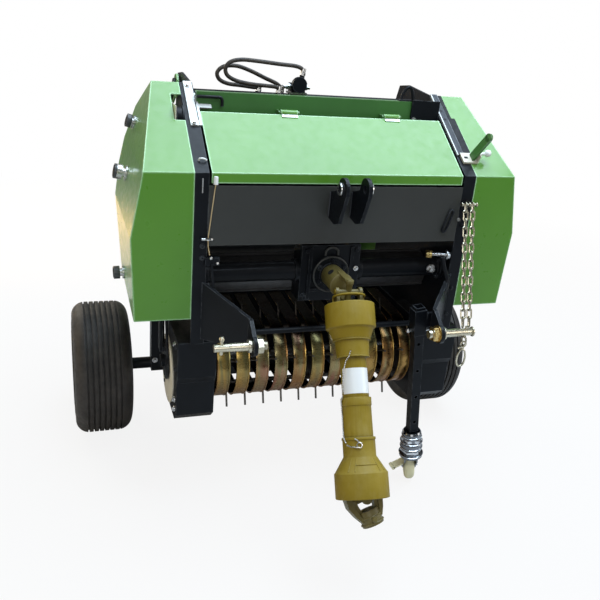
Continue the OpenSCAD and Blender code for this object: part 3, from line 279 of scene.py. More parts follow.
# Guard plastic: darker in the steps and grooves of its mouldings, as painted shade
coated("guard_plastic", (0.232, 0.158, 0.008), rough=0.5, vary=0.2, peel=0.1, scale=9, shine=0.2,
       dust=0.22, dust_rgb=(0.33, 0.29, 0.15), wear=0.4, wear_rgb=(0.34, 0.29, 0.11), streak=0.12,
       grime_and_shade=0.85, corner_shade_rgb=(0.06, 0.04, 0.004))
coated("shaft_steel", (0.115, 0.09, 0.022), rough=0.45, coat=0.2, coat_rough=0.3, vary=0.25, peel=0.1,
       scale=12, dust=0.15, dust_rgb=(0.16, 0.12, 0.06), wear=0.5, wear_rgb=(0.26, 0.22, 0.1))
rubber("hose_rubber", (0.02, 0.016, 0.013), (0.12, 0.095, 0.07), 0.45, scale=30, rough=0.55)
coated("cream_paint", (0.6, 0.56, 0.45), rough=0.42, coat=0.3, coat_rough=0.2, vary=0.1, dust=0.25,
       dust_rgb=(0.26, 0.22, 0.16), wear=0.5, wear_rgb=(0.3, 0.28, 0.24))
coated("knob_plastic", (0.045, 0.048, 0.052), rough=0.42, coat=0.2, coat_rough=0.25, vary=0.2, peel=0.08,
       scale=20, dust=0.3, dust_rgb=(0.3, 0.28, 0.25), wear=0.5, wear_rgb=(0.25, 0.25, 0.25))
rubber("twine_fibre", (0.42, 0.3, 0.15), (0.56, 0.44, 0.26), 0.8, scale=120, rough=0.85)
coated("white_plastic", (0.78, 0.78, 0.75), rough=0.4, coat=0.3, coat_rough=0.2, vary=0.06, dust=0.15,
       dust_rgb=(0.5, 0.46, 0.4), streak=0.1)
coated("patch_white", (0.74, 0.74, 0.72), rough=0.34, coat=0.4, coat_rough=0.2, vary=0.05, dust=0.1,
       dust_rgb=(0.45, 0.4, 0.33), streak=0.08)
# Black standing for the shade inside holes, slots and gaps: painted shade
coated("hole_shade", (0.006, 0.006, 0.007), rough=0.7, vary=0.3)
# Chrome painted darker for the castor fork: with the bright rings it paints dark and bright reflection bands
# on one chrome
metal("chrome_painted_dark", two_tone((0.15, 0.16, 0.17), (0.28, 0.29, 0.31)), rough=0.15, rough_vary=0.05,
      scratch=0.03)
metal("silver", two_tone((0.5, 0.5, 0.5), (0.66, 0.64, 0.61)), rough=0.28, dirt=0.45)
metal("brass", two_tone((0.55, 0.36, 0.12), (0.7, 0.5, 0.2)), rough=0.28, dirt=0.4)
# Flange steel: its pale rubbed edges are partly edge wear, partly a painted highlight
coated("flange_steel", (0.016, 0.019, 0.025), rough=0.44, coat=0.05, coat_rough=0.2, vary=0.15, scale=9,
       shine=0.2, dust=0.05, dust_rgb=(0.25, 0.25, 0.24), wear=0.8, wear_rgb=(0.4, 0.42, 0.44))
coated("pale_steel", (0.48, 0.485, 0.455), rough=0.4, coat=0.2, coat_rough=0.2, vary=0.12, scale=9,
       metallic=0.3, dust=0.2, dust_rgb=(0.4, 0.38, 0.34), wear=0.5, wear_rgb=(0.5, 0.5, 0.5))
metal("chain_zinc", two_tone((0.52, 0.47, 0.34), (0.66, 0.62, 0.5)), rough=0.3, scale=30)
# Zinc of the bands: their upward faces are darkened as painted shade
metal("band_zinc",
      [(0.36, (0.24, 0.21, 0.085)), (0.43, (0.44, 0.29, 0.08)), (0.5, (0.35, 0.18, 0.065)),
       (0.57, (0.28, 0.25, 0.12)), (0.65, (0.37, 0.15, 0.11))],
      rough=0.29, rough_vary=0.05, scale=9, stretch=(1.7, 0.3, 0.3), dirt=0.12, scratch=0.008,
      top_shade=0.93, low_rgb=(0.26, 0.115, 0.055))
metal("weld", two_tone((0.016, 0.018, 0.022), (0.035, 0.037, 0.042)), rough=0.48, metallic=0, dirt=0.3,
      scratch=0.2)

# CAD nodes: finish, welded seams and softened edges, in metres

# The castor fork takes chrome painted darker, as painted reflection
NODE_FINISH = {"pickup_bands": "band_zinc", "link_pins": "chain_zinc", "castor_fork": "chrome_painted_dark"}
SEAM = 0.00002
BEVEL_SHARPEST = radians(32)
BEVEL_PLAIN = 0.0006
BEVEL_WIDTHS = {
    0.001: ("pickup_bands", "castor_fork", "front_panel", "density_lever"),
    0.0012: ("side_walls",),
    0.0014: ("lid", "cover_left", "cover_right", "gate_plates"),
    0.0015: ("pickup_frame",),
    0.002: ("hitch_plates", "top_link_ears", "cross_beam", "leg", "leg_sleeve", "axle_arms"),
    0.004: ("gearbox",)}

for name, obj in frame["nodes"].items():
    obj.data.materials.clear()
    obj.data.materials.append(MATERIALS[NODE_FINISH.get(name, slot_of[name])])
    weld = obj.modifiers.new("weld", "WELD")
    weld.merge_threshold = SEAM
    bevel = obj.modifiers.new("bevel", "BEVEL")
    bevel.width = next((w for w, names in BEVEL_WIDTHS.items() if name in names), BEVEL_PLAIN)
    bevel.segments = 2
    bevel.limit_method = "ANGLE"
    bevel.angle_limit = BEVEL_SHARPEST
    bevel.harden_normals = True

# Tools for the small pieces, gathered into one mesh per name

# Angle above which an edge of a small piece isn't smoothed
SHARPEST = radians(40)


def around(center, r, u, v, n, turn=0):
    """n points round a centre in the plane of u and v, the first turned by a share of the step."""
    steps = [2 * pi * (k + turn) / n for k in range(n)]
    return [center + r * (cos(a) * u + sin(a) * v) for a in steps]


def cross_axes(axis):
    """The axis at unit length and two directions across it."""
    axis = axis.normalized()
    side = axis.orthogonal().normalized()
    return axis, side, axis.cross(side)


def smooth_line(pts, per=6):
    """A rounded line through points."""
    out = []
    for i in range(len(pts) - 1):
        a, b, c, d = pts[max(i - 1, 0)], pts[i], pts[i + 1], pts[min(i + 2, len(pts) - 1)]
        for k in range(per):
            t = k / per
            bend = (2 * a - 5 * b + 4 * c - d) * t * t + (3 * b - a - 3 * c + d) * t ** 3
            out.append(0.5 * ((2 * b) + (c - a) * t + bend))
    return out + [pts[-1]]


class Solid:
    """The mesh of one piece, built up from simple forms, on its body, in place of a node if one is named."""

    made = []

    def __init__(self, name, material, body="frame", node=None):
        self.name, self.material, self.body, self.node = name, material, body, node
        self.verts, self.faces = [], []
        Solid.made.append(self)

    def add(self, verts, faces):
        k = len(self.verts)
        self.verts += verts
        self.faces += [[i + k for i in f] for f in faces]

    def lathe(self, start, axis, profile, n=24):
        """Turned form: profile holds radius and distance along the axis, from start."""
        axis, side, other = cross_axes(axis)
        verts, rings, faces = [], [], []
        for r, s in profile:
            base = start + axis * s
            points = [base] if r <= 1e-7 else around(base, r, side, other, n)
            rings.append(list(range(len(verts), len(verts) + len(points))))
            verts += points
        for a, b in zip(rings, rings[1:]):
            for k in range(n):
                j = (k + 1) % n
                quad = [a[k % len(a)], a[j % len(a)], b[j % len(b)], b[k % len(b)]]
                quad = [v for i, v in enumerate(quad) if v not in quad[:i]]
                if len(quad) > 2:
                    faces.append(quad)
        for ring, flip in ((rings[0], True), (rings[-1], False)):
            if len(ring) > 1:
                faces.append(ring[::-1] if flip else ring)
        self.add(verts, faces)

    def disc(self, at, axis, r, t, n=24):
        self.lathe(at, axis, [(r, 0), (r, t)], n)

    def rod(self, a, b, r, n=16):
        self.disc(a, b - a, r, (b - a).length, n)

    def box(self, center, size, turn=None):
        turn = turn or Matrix.Identity(3)
        ends = (-0.5, 0.5)
        verts = [center + turn @ Vector((x * size[0], y * size[1], z * size[2]))
                 for x in ends for y in ends for z in ends]
        self.add(verts, [[0, 1, 3, 2], [4, 6, 7, 5], [0, 4, 5, 1], [2, 3, 7, 6], [0, 2, 6, 4], [1, 5, 7, 3]])

    def plate(self, outline, lift):
        """A flat outline of 3-D points, given thickness by the vector lift."""
        n = len(outline)
        verts = outline + [p + lift for p in outline]
        faces = [list(range(n))[::-1], list(range(n, 2 * n))]
        faces += [[k, (k + 1) % n, n + (k + 1) % n, n + k] for k in range(n)]
        self.add(verts, faces)

    def tube_faces(self, rings, n, closed):
        """Faces between rings of n points, and round to the first ring again if closed."""
        faces = []
        for i in range(rings if closed else rings - 1):
            j = (i + 1) % rings
            faces += [[i * n + k, i * n + (k + 1) % n, j * n + (k + 1) % n, j * n + k] for k in range(n)]
        return faces

    def sweep(self, pts, r, n=10, closed=False):
        """A round wire along points."""
        m = len(pts)
        verts, up = [], None
        for i in range(m):
            if closed:
                d = pts[(i + 1) % m] - pts[i - 1]
            else:
                d = pts[min(i + 1, m - 1)] - pts[max(i - 1, 0)]
            d.normalize()
            up = d.orthogonal().normalized() if up is None else (up - d * up.dot(d)).normalized()
            verts += around(pts[i], r, up, d.cross(up), n)
        faces = self.tube_faces(m, n, closed)
        if not closed:
            faces += [list(range(n))[::-1], list(range((m - 1) * n, m * n))]
        self.add(verts, faces)

    def ring(self, center, axis, big, small, n=28, k=10):
        axis, side, other = cross_axes(axis)
        self.sweep(around(center, big, side, other, n), small, k, True)

    def bolt(self, at, axis, r=0.007, head=0.007):
        """A hexagon head with washer and chamfer, standing on a face."""
        washer = 0.002
        axis = axis.normalized()
        self.lathe(at, axis, [(r * 1.55, -0.0005), (r * 1.55, washer - 0.0004), (r * 1.5, washer)], 20)
        self.lathe(at + axis * washer, axis, [(r, 0), (r, head * 0.82), (r * 0.86, head)], 6)

    def ball(self, at, r, n=10):
        profile = [(0, 0), (r * 0.71, r * 0.29), (r, r), (r * 0.71, r * 1.71), (0, r * 2)]
        self.lathe(at - Z * r, Z, profile, n)

    def ball_chain(self, points, step=0.0052, r=0.0021):
        """Small balls on a wire along points."""
        self.sweep(points, r * 0.45, 6)
        for a, b in zip(points, points[1:]):
            count = max(1, round((b - a).length / step))
            for k in range(count):
                self.ball(a.lerp(b, k / count), r)

    def wire_link(self, center, along, across, length, width, r, n=20):
        """One oval chain link."""
        along, across = along.normalized(), across.normalized()
        half = (length - width) / 2
        pts = around(center, width / 2, along, across, n)
        for k, p in enumerate(pts):
            p += along * (half if cos(2 * pi * k / n) > 0 else -half)
        self.sweep(pts, r, 8, True)

    def weld_bead(self, a, b, r=0.004, step=0.005):
        """A ripple of weld between two points."""
        length = (b - a).length
        ripples = 2 * max(2, int(length / step))
        profile = [(r * (1 if k % 2 else 0.82), length * k / ripples) for k in range(ripples + 1)]
        self.lathe(a, b - a, [(0, -r * 0.6)] + profile + [(0, length + r * 0.6)], 10)

    def sprocket(self, center, axis, r, t, teeth):
        """A toothed wheel."""
        axis, side, other = cross_axes(axis)
        root = 0.9 * r
        outline = []
        for k in range(teeth):
            for share, radius in ((-0.3, root), (-0.12, r), (0.12, r), (0.3, root)):
                a = 2 * pi * (k + share) / teeth
                outline.append(center + radius * (cos(a) * side + sin(a) * other))
        self.plate(outline, axis * t)

    def finish(self):
        mesh = bpy.data.meshes.new(self.name)
        mesh.from_pydata(self.verts, [], self.faces)
        mesh.validate()
        mesh.shade_smooth()
        mesh.set_sharp_from_angle(angle=SHARPEST)
        mesh.materials.append(MATERIALS[self.material])
        obj = show(self.name, mesh)
        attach(obj, self.body)
        if self.node:
            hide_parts(self.node)


# Places shared by the small pieces

# The slope of lid and covers: its rise over its depth, and the height of the crease below it
SLOPE = atan2(0.177, 0.268)
CREASE_Z = 0.981
UP = Vector((0, cos(SLOPE), sin(SLOPE)))
OUT = Vector((0, -sin(SLOPE), cos(SLOPE)))
SLOPE_TURN = Matrix((X, UP, OUT)).transposed()
# Depth and height of the drive tubes' axis and of the lower link pins
DRIVE_Y, DRIVE_Z = 0.066, 0.7
LINK_Y, LINK_Z = -0.155, 0.589

SHAFT_TOP = Vector(joint["shaft_lift"]["pos_m"])
SHAFT_DOWN = -Vector(joint["shaft_slide"]["axis"])
SHAFT_SIDE = -Vector(joint["shaft_lift"]["axis"])
SHAFT_FRONT = SHAFT_DOWN.cross(SHAFT_SIDE)
REEL = Vector(joint["reel_spin"]["pos_m"])
LEG_UP = Vector(joint["leg_slide"]["axis"])
LEG_FOOT = Vector(joint["castor_swivel"]["pos_m"])
HUB = Vector(joint["castor_spin"]["pos_m"])
HUB_AXIS = Vector(joint["castor_spin"]["axis"])

# Bolts of the frame, filled by the sections below
bright_bolts = Solid("bright_bolts", "silver")
dark_bolts = Solid("dark_bolts", "black_paint")


def on_slope(x, u, h=0):
    """A point on the sloped sheets: sideways place, way up from the crease, height over the sheet."""
    return P(x, 0, CREASE_Z) + UP * u + OUT * h


def on_shaft(s, r, deg):
    """A point round the drive shaft: way down from its joint, radius, degrees from front to right."""
    a = radians(deg)
    return SHAFT_TOP + SHAFT_DOWN * s + r * (cos(a) * SHAFT_FRONT + sin(a) * SHAFT_SIDE)


def shaft_line(rows):
    """Points round the drive shaft."""
    return [on_shaft(*row) for row in rows]


def line(rows):
    """Points from the front plane."""
    return [P(*row) for row in rows]


def level_line(y, rows):
    """Points at one depth from rows of sideways place and height."""
    return [P(x, y, z) for x, z in rows]


def slope_boxes(name, material, rows, body="frame"):
    """Boxes on the slope, from rows of place (sideways, up, height) and size (width, length, thickness)."""
    solid = Solid(name, material, body)
    for place, size in rows:
        solid.box(on_slope(*place), size, SLOPE_TURN)
    return solid


# Slope

# Strips along the slope's edges with their holes, and the black channel beside the right one; the thin pale
# strip along the right flange's left edge is a painted highlight, and the black of the holes and the channel
# is painted shade
slope_boxes("slope_strips", "pale_steel", (
    ((-0.364, 0.24, 0.002), (0.022, 0.164, 0.004)),
    # The thin pale strip on the right flange's left edge is a painted highlight
    ((0.3538, 0.199, 0.0022), (0.003, 0.246, 0.0044)),
    ((-0.3487, 0.218, 0.002), (0.0064, 0.118, 0.004)),
    ((-0.33, 0.233, 0), (0.036, 0.014, 0.003))))
slope_boxes("right_flange", "flange_steel", (((0.3643, 0.199, 0.002), (0.0182, 0.246, 0.004)),))
holes = slope_boxes("slope_strip_holes", "hole_shade", (
    ((-0.353, 0.215, 0.0021), (0.0022, 0.075, 0.0045)),
    ((0.3805, 0.2725, 0.0006), (0.015, 0.096, 0.0008)),
    ((0.386, 0.153, 0.0006), (0.026, 0.144, 0.0008))))
for up in (0.284, 0.251, 0.217):
    holes.disc(on_slope(0.363, up, 0.0035), OUT, 0.0042, 0.0008, 20)
# Way up, radius, head
for up, r, head in ((0.166, 0.0055, 0.005), (0.305, 0.005, 0.004)):
    bright_bolts.bolt(on_slope(-0.365, up, 0.004), OUT, r, head)

# Twine hook
hook = Solid("twine_hook", "white_plastic")
bend = ((-0.371, 0.04, 0), (-0.37, 0.04, 0.006), (-0.364, 0.039, 0.0085), (-0.357, 0.038, 0.0075),
        (-0.353, 0.037, 0.004))
hook.sweep(smooth_line([on_slope(*p) for p in bend]), 0.0022, 8)

# Lid hinge leaves
leaf_size = (0.044, 0.0085, 0.0024)
rows = [((x, 0.2065, 0.0012), leaf_size) for x in (-0.105, 0.195)]
slope_boxes("lid_hinge_leaves", "silver", rows, "lid")

# Drum and pale tab inside the left cover's notch
drum = Solid("notch_drum", "black_paint")
rim_r, core_r = 0.03, 0.026
profile = [(rim_r, 0), (rim_r, 0.004), (core_r, 0.006), (core_r, 0.018), (rim_r, 0.02), (rim_r, 0.025)]
drum.lathe(P(-0.3855, 0.188, 1.08), -X, profile, 36)
tab = Solid("notch_tab", "cream_paint")
tab.box(P(-0.4095, 0.188, 1.096), (0.003, 0.072, 0.034))

# Loop and dark end plate on the cross beam, and the end of the bent handle
loop_y, handle_y, end_x, end_w = 0.212, 0.198, 0.306, 0.087
arch = ((0.232, 1.143), (0.237, 1.165), (0.247, 1.18), (0.258, 1.182), (0.266, 1.17), (0.271, 1.143))
handle = ((-0.292, 1.133), (-0.286, 1.131), (-0.283, 1.124), (-0.283, 1.11))
beam = Solid("beam_fittings", "black_paint")
beam.sweep(smooth_line(level_line(loop_y, arch), 5), 0.0045, 10)
beam.box(P(0.2515, loop_y, 1.1465), (0.052, 0.014, 0.004))
beam.sweep(smooth_line(level_line(handle_y, handle), 5), 0.004, 10)
beam.box(P(end_x, 0.1985, 1.1165), (end_w, 0.006, 0.066))
beam.box(P(end_x, 0.1935, 1.0865), (end_w, 0.014, 0.005))
bright_bolts.bolt(P(0.272, 0.1955, 1.096), -Y, 0.005, 0.004)

# Twine

# Cap on the lid, eyelet below it, the twine's tail and the guide arm
cap_x, eye_x, twine_y, eye_z = -0.336, -0.35, -0.009, 0.817
cap = Solid("twine_cap", "white_plastic", "lid")
cap.lathe(P(cap_x, twine_y, 0.9552), Z, [(0.0057, 0), (0.0057, 0.016), (0.0048, 0.019), (0, 0.0196)], 20)
cap.disc(P(cap_x, -0.013, 0.9655), Y, 0.004, 0.0135, 16)
eyelet = Solid("twine_eyelet", "silver")
eyelet.ring(P(eye_x, twine_y, eye_z), Z, 0.0062, 0.0018, 24, 8)
# Place and radius
for place, r in (((-0.3405, twine_y, eye_z), 0.0038), ((-0.341, -0.01, 0.768), 0.0046),
                 ((-0.324, -0.01, 0.754), 0.0046)):
    eyelet.ball(P(*place), r)
eyelet.rod(P(-0.366, twine_y, eye_z), P(-0.357, twine_y, eye_z), 0.0034)
tail = Solid("twine_tail", "twine_fibre")
tail.sweep(line(((eye_x, twine_y, 0.8205), (-0.3495, twine_y, 0.8), (-0.345, -0.01, 0.776))), 0.0015, 8)
arm = Solid("twine_arm", "black_paint")
arm.box(P(-0.337, -0.003, 0.757), (0.036, 0.01, 0.02))
bend = ((-0.338, -0.008, 0.752), (-0.338, -0.011, 0.735), (-0.334, -0.012, 0.7), (-0.332, -0.012, 0.655))
arm.sweep(smooth_line(line(bend), 5), 0.0038, 10)

# Posts and panel

# Slot mark and bolts of the posts, rods in front of panel and right plate
marks = Solid("post_slot", "silver")
marks.box(P(-0.366, -0.0004, 0.95), (0.003, 0.0018, 0.036))
for x, z in ((-0.3495, 0.64), (-0.352, 0.55), (0.352, 0.86)):
    bright_bolts.bolt(P(x, 0, z), -Y, 0.0032, 0.0034)
for x, z in ((-0.362, 0.797), (-0.362, 0.766), (0.367, 0.842), (0.367, 0.655), (0.367, 0.575)):
    dark_bolts.bolt(P(x, 0, z), -Y, 0.0046, 0.0042)
latch = ((0.3255, 0.888), (0.3305, 0.88), (0.322, 0.85), (0.315, 0.829), (0.3075, 0.825), (0.3045, 0.833),
         (0.312, 0.86), (0.3195, 0.883), (0.3255, 0.888))
bent = ((0.319, -0.008, 0.752), (0.322, -0.014, 0.73), (0.336, -0.022, 0.69), (0.33, -0.034, 0.668),
        (0.305, -0.05, 0.645))
rods = Solid("front_rods", "black_paint")
rods.sweep(smooth_line(level_line(-0.003, latch), 5), 0.003, 8)
rods.sweep(smooth_line(line(bent), 6), 0.0065, 12)

# Tie bolt with its nuts on the right post, and the round boss below it
tie_axis = X - Y * 0.3
tie = Solid("right_tie", "silver")
nut = Solid("right_tie_nut", "brass")
tie.rod(P(0.292, 0.03, 0.75), P(0.35, 0.01, 0.752), 0.0058)
tie.bolt(P(0.34, 0.012, 0.752), tie_axis, 0.01, 0.009)
tie.lathe(P(0.306, 0.03, 0.706), -Y, [(0.013, 0), (0.013, 0.004), (0.008, 0.005), (0.008, 0.016)], 20)
nut.disc(P(0.286, 0.032, 0.75), tie_axis, 0.0125, 0.016, 6)

# Gearbox and drive tubes

# Bolts of the gearbox and of the drive tubes' flanges
for p in around(P(0, 0.025, DRIVE_Z), 0.04, X, Z, 6, 0.5):
    dark_bolts.bolt(p, -Y, 0.0055, 0.005)
for s in (-1, 1):
    for dz in (-0.067, 0.067):
        dark_bolts.bolt(P(s * 0.071, 0.036, DRIVE_Z + dz), -Y, 0.0068, 0.006)
    for p in around(P(s * 0.338, DRIVE_Y, DRIVE_Z), 0.034, Y, Z, 4, 0.5):
        dark_bolts.bolt(p, -X * s, 0.0055, 0.005)
bright_bolts.bolt(P(0.075, 0.034, 0.712), -Y, 0.0048, 0.006)

# Plug, ribs and cast rings of the gearbox
rib_y, ring_y, lug_y = 0.0345, 0.0245, 0.033
plug = Solid("gearbox_plug", "brass")
plug.lathe(P(0.052, 0.062, 0.78), Z, [(0.01, -0.001), (0.01, 0.008), (0.006, 0.009), (0.006, 0.014)], 6)
ribs = Solid("gearbox_ribs", "black_paint")
for x in (-0.06, 0.06):
    ribs.box(P(x, rib_y, DRIVE_Z), (0.01, 0.006, 0.15))
boss = [(0.035, 0), (0.035, 0.004), (0.0335, 0.0055), (0.031, 0.0055)]
ribs.lathe(P(0, 0.026, DRIVE_Z), -Y, boss, 40)
ribs.box(P(0, rib_y, 0.652), (0.11, 0.006, 0.008))
rings = Solid("gearbox_rings", "panel_paint")
rings.sweep(around(P(0, ring_y, DRIVE_Z), 0.05, X, Z, 40), 0.0026, 8, True)
lug_half, lug_foot, lug_z, lug_rise = 0.018, 0.752, 0.76, 0.014
turns = [pi * (1 - k / 10) for k in range(11)]
lug = [(lug_half * cos(a), lug_z + lug_rise * sin(a)) for a in turns]
rings.sweep(level_line(lug_y, [(-lug_half, lug_foot)] + lug + [(lug_half, lug_foot)]), 0.0034, 8)
# The hub's hole is a black disc of painted shade
hole = Solid("hub_hole", "hole_shade")
hole_dir = Vector((-0.62, 0, 0.78))
hole.disc(P(0, -0.018, DRIVE_Z) + hole_dir * 0.0285, hole_dir, 0.0085, 0.0022)

# Drive shaft

# End cap of a joint's cross: radius and distance along its axis
CROSS_CAP = [(0.0088, 0), (0.0088, 0.002), (0.007, 0.0028)]

# Caps of the input yoke's cross, and the arch of the upper guard
caps = Solid("input_caps", "shaft_steel")
for s in (-1, 1):
    caps.lathe(SHAFT_TOP + Z * s * 0.0325, Z * s, [(0.0085, 0), (0.0085, 0.0022), (0.007, 0.003)], 20)
collar = [(0.03, 0), (0.0325, 0.002), (0.0325, 0.008), (0.03, 0.01)]
caps.lathe(SHAFT_TOP + Y * 0.047, Y, collar, 32)
arch = Solid("guard_arch", "guard_plastic", "shaft_upper")
arch_r, arch_end, arch_foot, arch_top = 0.04, 98, 0.04, 0.012
bow = [(arch_top, arch_r, a) for a in range(-arch_end, arch_end + 1, 7)]
feet = [(arch_foot, arch_r, a) for a in (-arch_end, arch_end)]
arch.sweep(shaft_line(feet[:1] + bow + feet[1:]), 0.0032, 10)
for s in (-1, 1):
    arch.lathe(SHAFT_TOP + SHAFT_SIDE * s * 0.0345, SHAFT_SIDE * s, CROSS_CAP, 20)
arch.lathe(on_shaft(0.058, 0.0345, 0), SHAFT_FRONT, [(0.004, 0), (0.004, 0.004), (0.0025, 0.008)], 12)

# The plain patch round the front of the upper guard's tube
inner, outer, top, low, half_angle, parts = 0.0332, 0.03372, 0.198, 0.261, 76, 16
arc = [-half_angle + 2 * half_angle * k / parts for k in range(parts + 1)]
n = len(arc)
patch = Solid("blank_patch", "patch_white", "shaft_upper")
verts = [on_shaft(s, r, a) for r in (inner, outer) for s in (top, low) for a in arc]
faces = [[0, n, 3 * n, 2 * n], [n - 1, 3 * n - 1, 4 * n - 1, 2 * n - 1]]
for k in range(n - 1):
    for a, b in ((2 * n, 3 * n), (n, 0), (0, 2 * n), (3 * n, n)):
        faces.append([a + k, b + k, b + k + 1, a + k + 1])
patch.add(verts, faces)

# Ball chain on both halves of the guard, clear of the lower half as it slides up, and its hook
top = Solid("safety_chain_top", "silver", "shaft_upper")
top.ball_chain(shaft_line((
    (0.158, 0.044, -24), (0.17, 0.0452, -30), (0.18, 0.0436, -42), (0.205, 0.0432, -54),
    (0.232, 0.0432, -60), (0.26, 0.043, -64))))
low = Solid("safety_chain_low", "silver", "shaft_lower")
low.ball_chain(shaft_line((
    (0.266, 0.0424, -67), (0.278, 0.0412, -80), (0.3, 0.0398, -84), (0.345, 0.0395, -84),
    (0.366, 0.042, -78), (0.38, 0.0445, -62))))
wire, eye_s, eye_deg = 0.0014, 0.386, -16
out = on_shaft(eye_s, 1, eye_deg) - on_shaft(eye_s, 0, eye_deg)
low.ring(on_shaft(eye_s, 0.0432, eye_deg), out, 0.0062, wire, 24, 8)
low.sweep(shaft_line((
    (0.384, 0.044, -60), (0.389, 0.0436, -44), (0.391, 0.0434, -26), (0.392, 0.0434, eye_deg))), wire, 8)
low.sweep(shaft_line(((0.38, 0.0434, eye_deg), (0.374, 0.0436, -22), (0.37, 0.044, -30))), wire, 8)

# Ribs on the lower guard's bell
ribs = Solid("bell_ribs", "guard_plastic", "shaft_lower")
for a in (-46, -30, 30, 46):
    ribs.sweep(shaft_line(((0.418, 0.043, a), (0.447, 0.0622, a))), 0.0016, 8)
ribs.sweep(shaft_line([(0.432, 0.053, a) for a in range(-30, 31, 5)]), 0.0014, 8)

# Rings, cross caps, push pin and fork arms of the outer yoke, which hangs bent to the right
bend = radians(20)
at = SHAFT_TOP + SHAFT_DOWN * 0.512
down = cos(bend) * SHAFT_DOWN + sin(bend) * SHAFT_SIDE
side = cos(bend) * SHAFT_SIDE - sin(bend) * SHAFT_DOWN
yoke = Solid("outer_yoke_fittings", "shaft_steel", "shaft_lower")
for s, r in ((0.06, 0.0275), (0.044, 0.0272)):
    yoke.ring(at + down * s, down, r, 0.0022, 36, 8)
pin = [(0.0075, -0.002), (0.0075, 0.004), (0.005, 0.0065), (0, 0.0065)]
yoke.lathe(at + down * 0.052 + SHAFT_FRONT * 0.0265, SHAFT_FRONT, pin, 18)
# Fork arm: distance from the axis, way down
arm = ((0.03, -0.018), (0.045, -0.014), (0.046, 0.008), (0.036, 0.034), (0.026, 0.052), (0.02, 0.052),
       (0.031, 0.012))
arm_t = 0.03
for k in (-1, 1):
    yoke.lathe(at + side * k * 0.0295, side * k, CROSS_CAP, 20)
    outline = [at + side * k * x + down * s - SHAFT_FRONT * arm_t / 2 for x, s in arm]
    yoke.plate(outline, SHAFT_FRONT * arm_t)

# Hitch

# Nuts of the lower link pins
hexagon = [(0.0225, 0), (0.0225, 0.003), (0.0205, 0.0032), (0.0205, 0.0165), (0.018, 0.019)]
for side, s in SIDES:
    nut = Solid("link_nut_" + side, "brass" if s > 0 else "chain_zinc")
    at = P(s * 0.2525, LINK_Y, LINK_Z)
    nut.lathe(at, -X * s, hexagon, 6)
    nut.lathe(at, -X * s, [(0.0235, -0.0005), (0.0235, 0.0026)], 32)

# Bright rings round the bores of the top link's ears: radius, distance from the machine's middle
section = ((0.0105, 0.0405), (0.0105, 0.0435), (0.015, 0.0435), (0.0158, 0.041))
count = 32
for side, s in SIDES:
    ears = Solid("ear_ring_" + side, "silver")
    verts = [p for r, h in section for p in around(P(s * h, -0.075, 0.962), r, Y, Z, count)]
    ears.add(verts, ears.tube_faces(len(section), count, True))

# Pins through the ends of the link pins, with the spring clip on the right
left_x, right_x, clip_wire = -0.338, 0.3375, 0.0028
pins = Solid("lynch_pins", "chain_zinc")
pins.rod(P(left_x, LINK_Y, 0.571), P(left_x, LINK_Y, 0.612), 0.0042)
pins.ball(P(left_x, LINK_Y, 0.613), 0.0075)
pins.rod(P(right_x, LINK_Y, 0.572), P(right_x, LINK_Y, 0.606), 0.0036)
pins.ring(P(0.358, LINK_Y, LINK_Z), X, 0.012, 0.002, 32, 8)
clip_at = P(right_x, LINK_Y, 0.572)
pins.wire_link(clip_at - Z * 0.01, Z, Y, 0.026, 0.02, clip_wire)
pins.wire_link(clip_at - Z * 0.02, Z, X, 0.016, 0.016, clip_wire)
clip = (
    (-0.01, -0.003, -0.024), (-0.002, -0.002, -0.028), (0.002, 0, -0.033), (-0.007, 0, -0.04),
    (-0.012, 0, -0.056), (-0.01, 0, -0.078), (0, 0, -0.088), (0.011, 0, -0.08), (0.013, 0, -0.06),
    (0.009, 0, -0.044), (0.002, 0.002, -0.034), (-0.006, 0.003, -0.03), (-0.012, 0.003, -0.034))
pins.sweep(smooth_line([clip_at + Vector(p) for p in clip], 5), 0.0029, 8)

# Beads at the hitch plates, the top link's ears and the axle arms
beads = Solid("weld_beads", "weld")
# Distance from the middle, then depth and height of both ends, radius
rows = ((0.3505, (-0.001, 0.548), (-0.001, 0.694), 0.004), (0.025, (-0.0005, 0.872), (-0.0005, 0.934), 0.003),
        (0.035, (-0.0005, 0.872), (-0.0005, 0.934), 0.003), (0.3565, (0.434, 0.5525), (0.488, 0.5525), 0.003))
for s in (-1, 1):
    for x, a, b, r in rows:
        beads.weld_bead(P(s * x, *a), P(s * x, *b), r)

# Chains of round wire in the places of the CAD links
wire, play, pitch_aim, seat, eye_w, end_gap = 0.0022, 0.0017, 0.022, 0.004, 0.0075, 0.0105
chain = Solid("round_chains", "chain_zinc", "chains", "hitch_chains")
for top_x, low_x in ((0.358, 0.328), (0.38, 0.347)):
    top, low = P(top_x, -0.014, 0.906), P(low_x, LINK_Y, LINK_Z)
    along = (low - top).normalized()
    start = play / 2 - seat
    run = (low - top).length - end_gap - 2 * wire - play / 2 - start
    count = round(run / pitch_aim)
    pitch = run / count
    side = Z.cross(along).normalized()
    for i in range(count):
        across = side if i % 2 else side.cross(along)
        center = top + along * (start + pitch * (i + 0.5))
        chain.wire_link(center, along, across, pitch + play + 2 * wire, eye_w + 2 * wire, wire)

# Pickup

# Rolled edges of the stripper bands, round the front of the reel
band_r, band_half, pitch, count, edge_r = 0.113, 0.0195, 0.056, 11, 0.0024
start, sweep, parts = 86, 188, 30
seat_r = band_r - 0.0004
arc = [radians(start + sweep * k / parts) for k in range(parts + 1)]
rolled = Solid("band_edges", "band_zinc")
for i in range(count):
    for edge in (-1, 1):
        x = (i - (count - 1) / 2) * pitch + edge * (band_half - edge_r)
        rolled.sweep([REEL + Vector((x, seat_r * cos(a), seat_r * sin(a))) for a in arc], edge_r, 8)

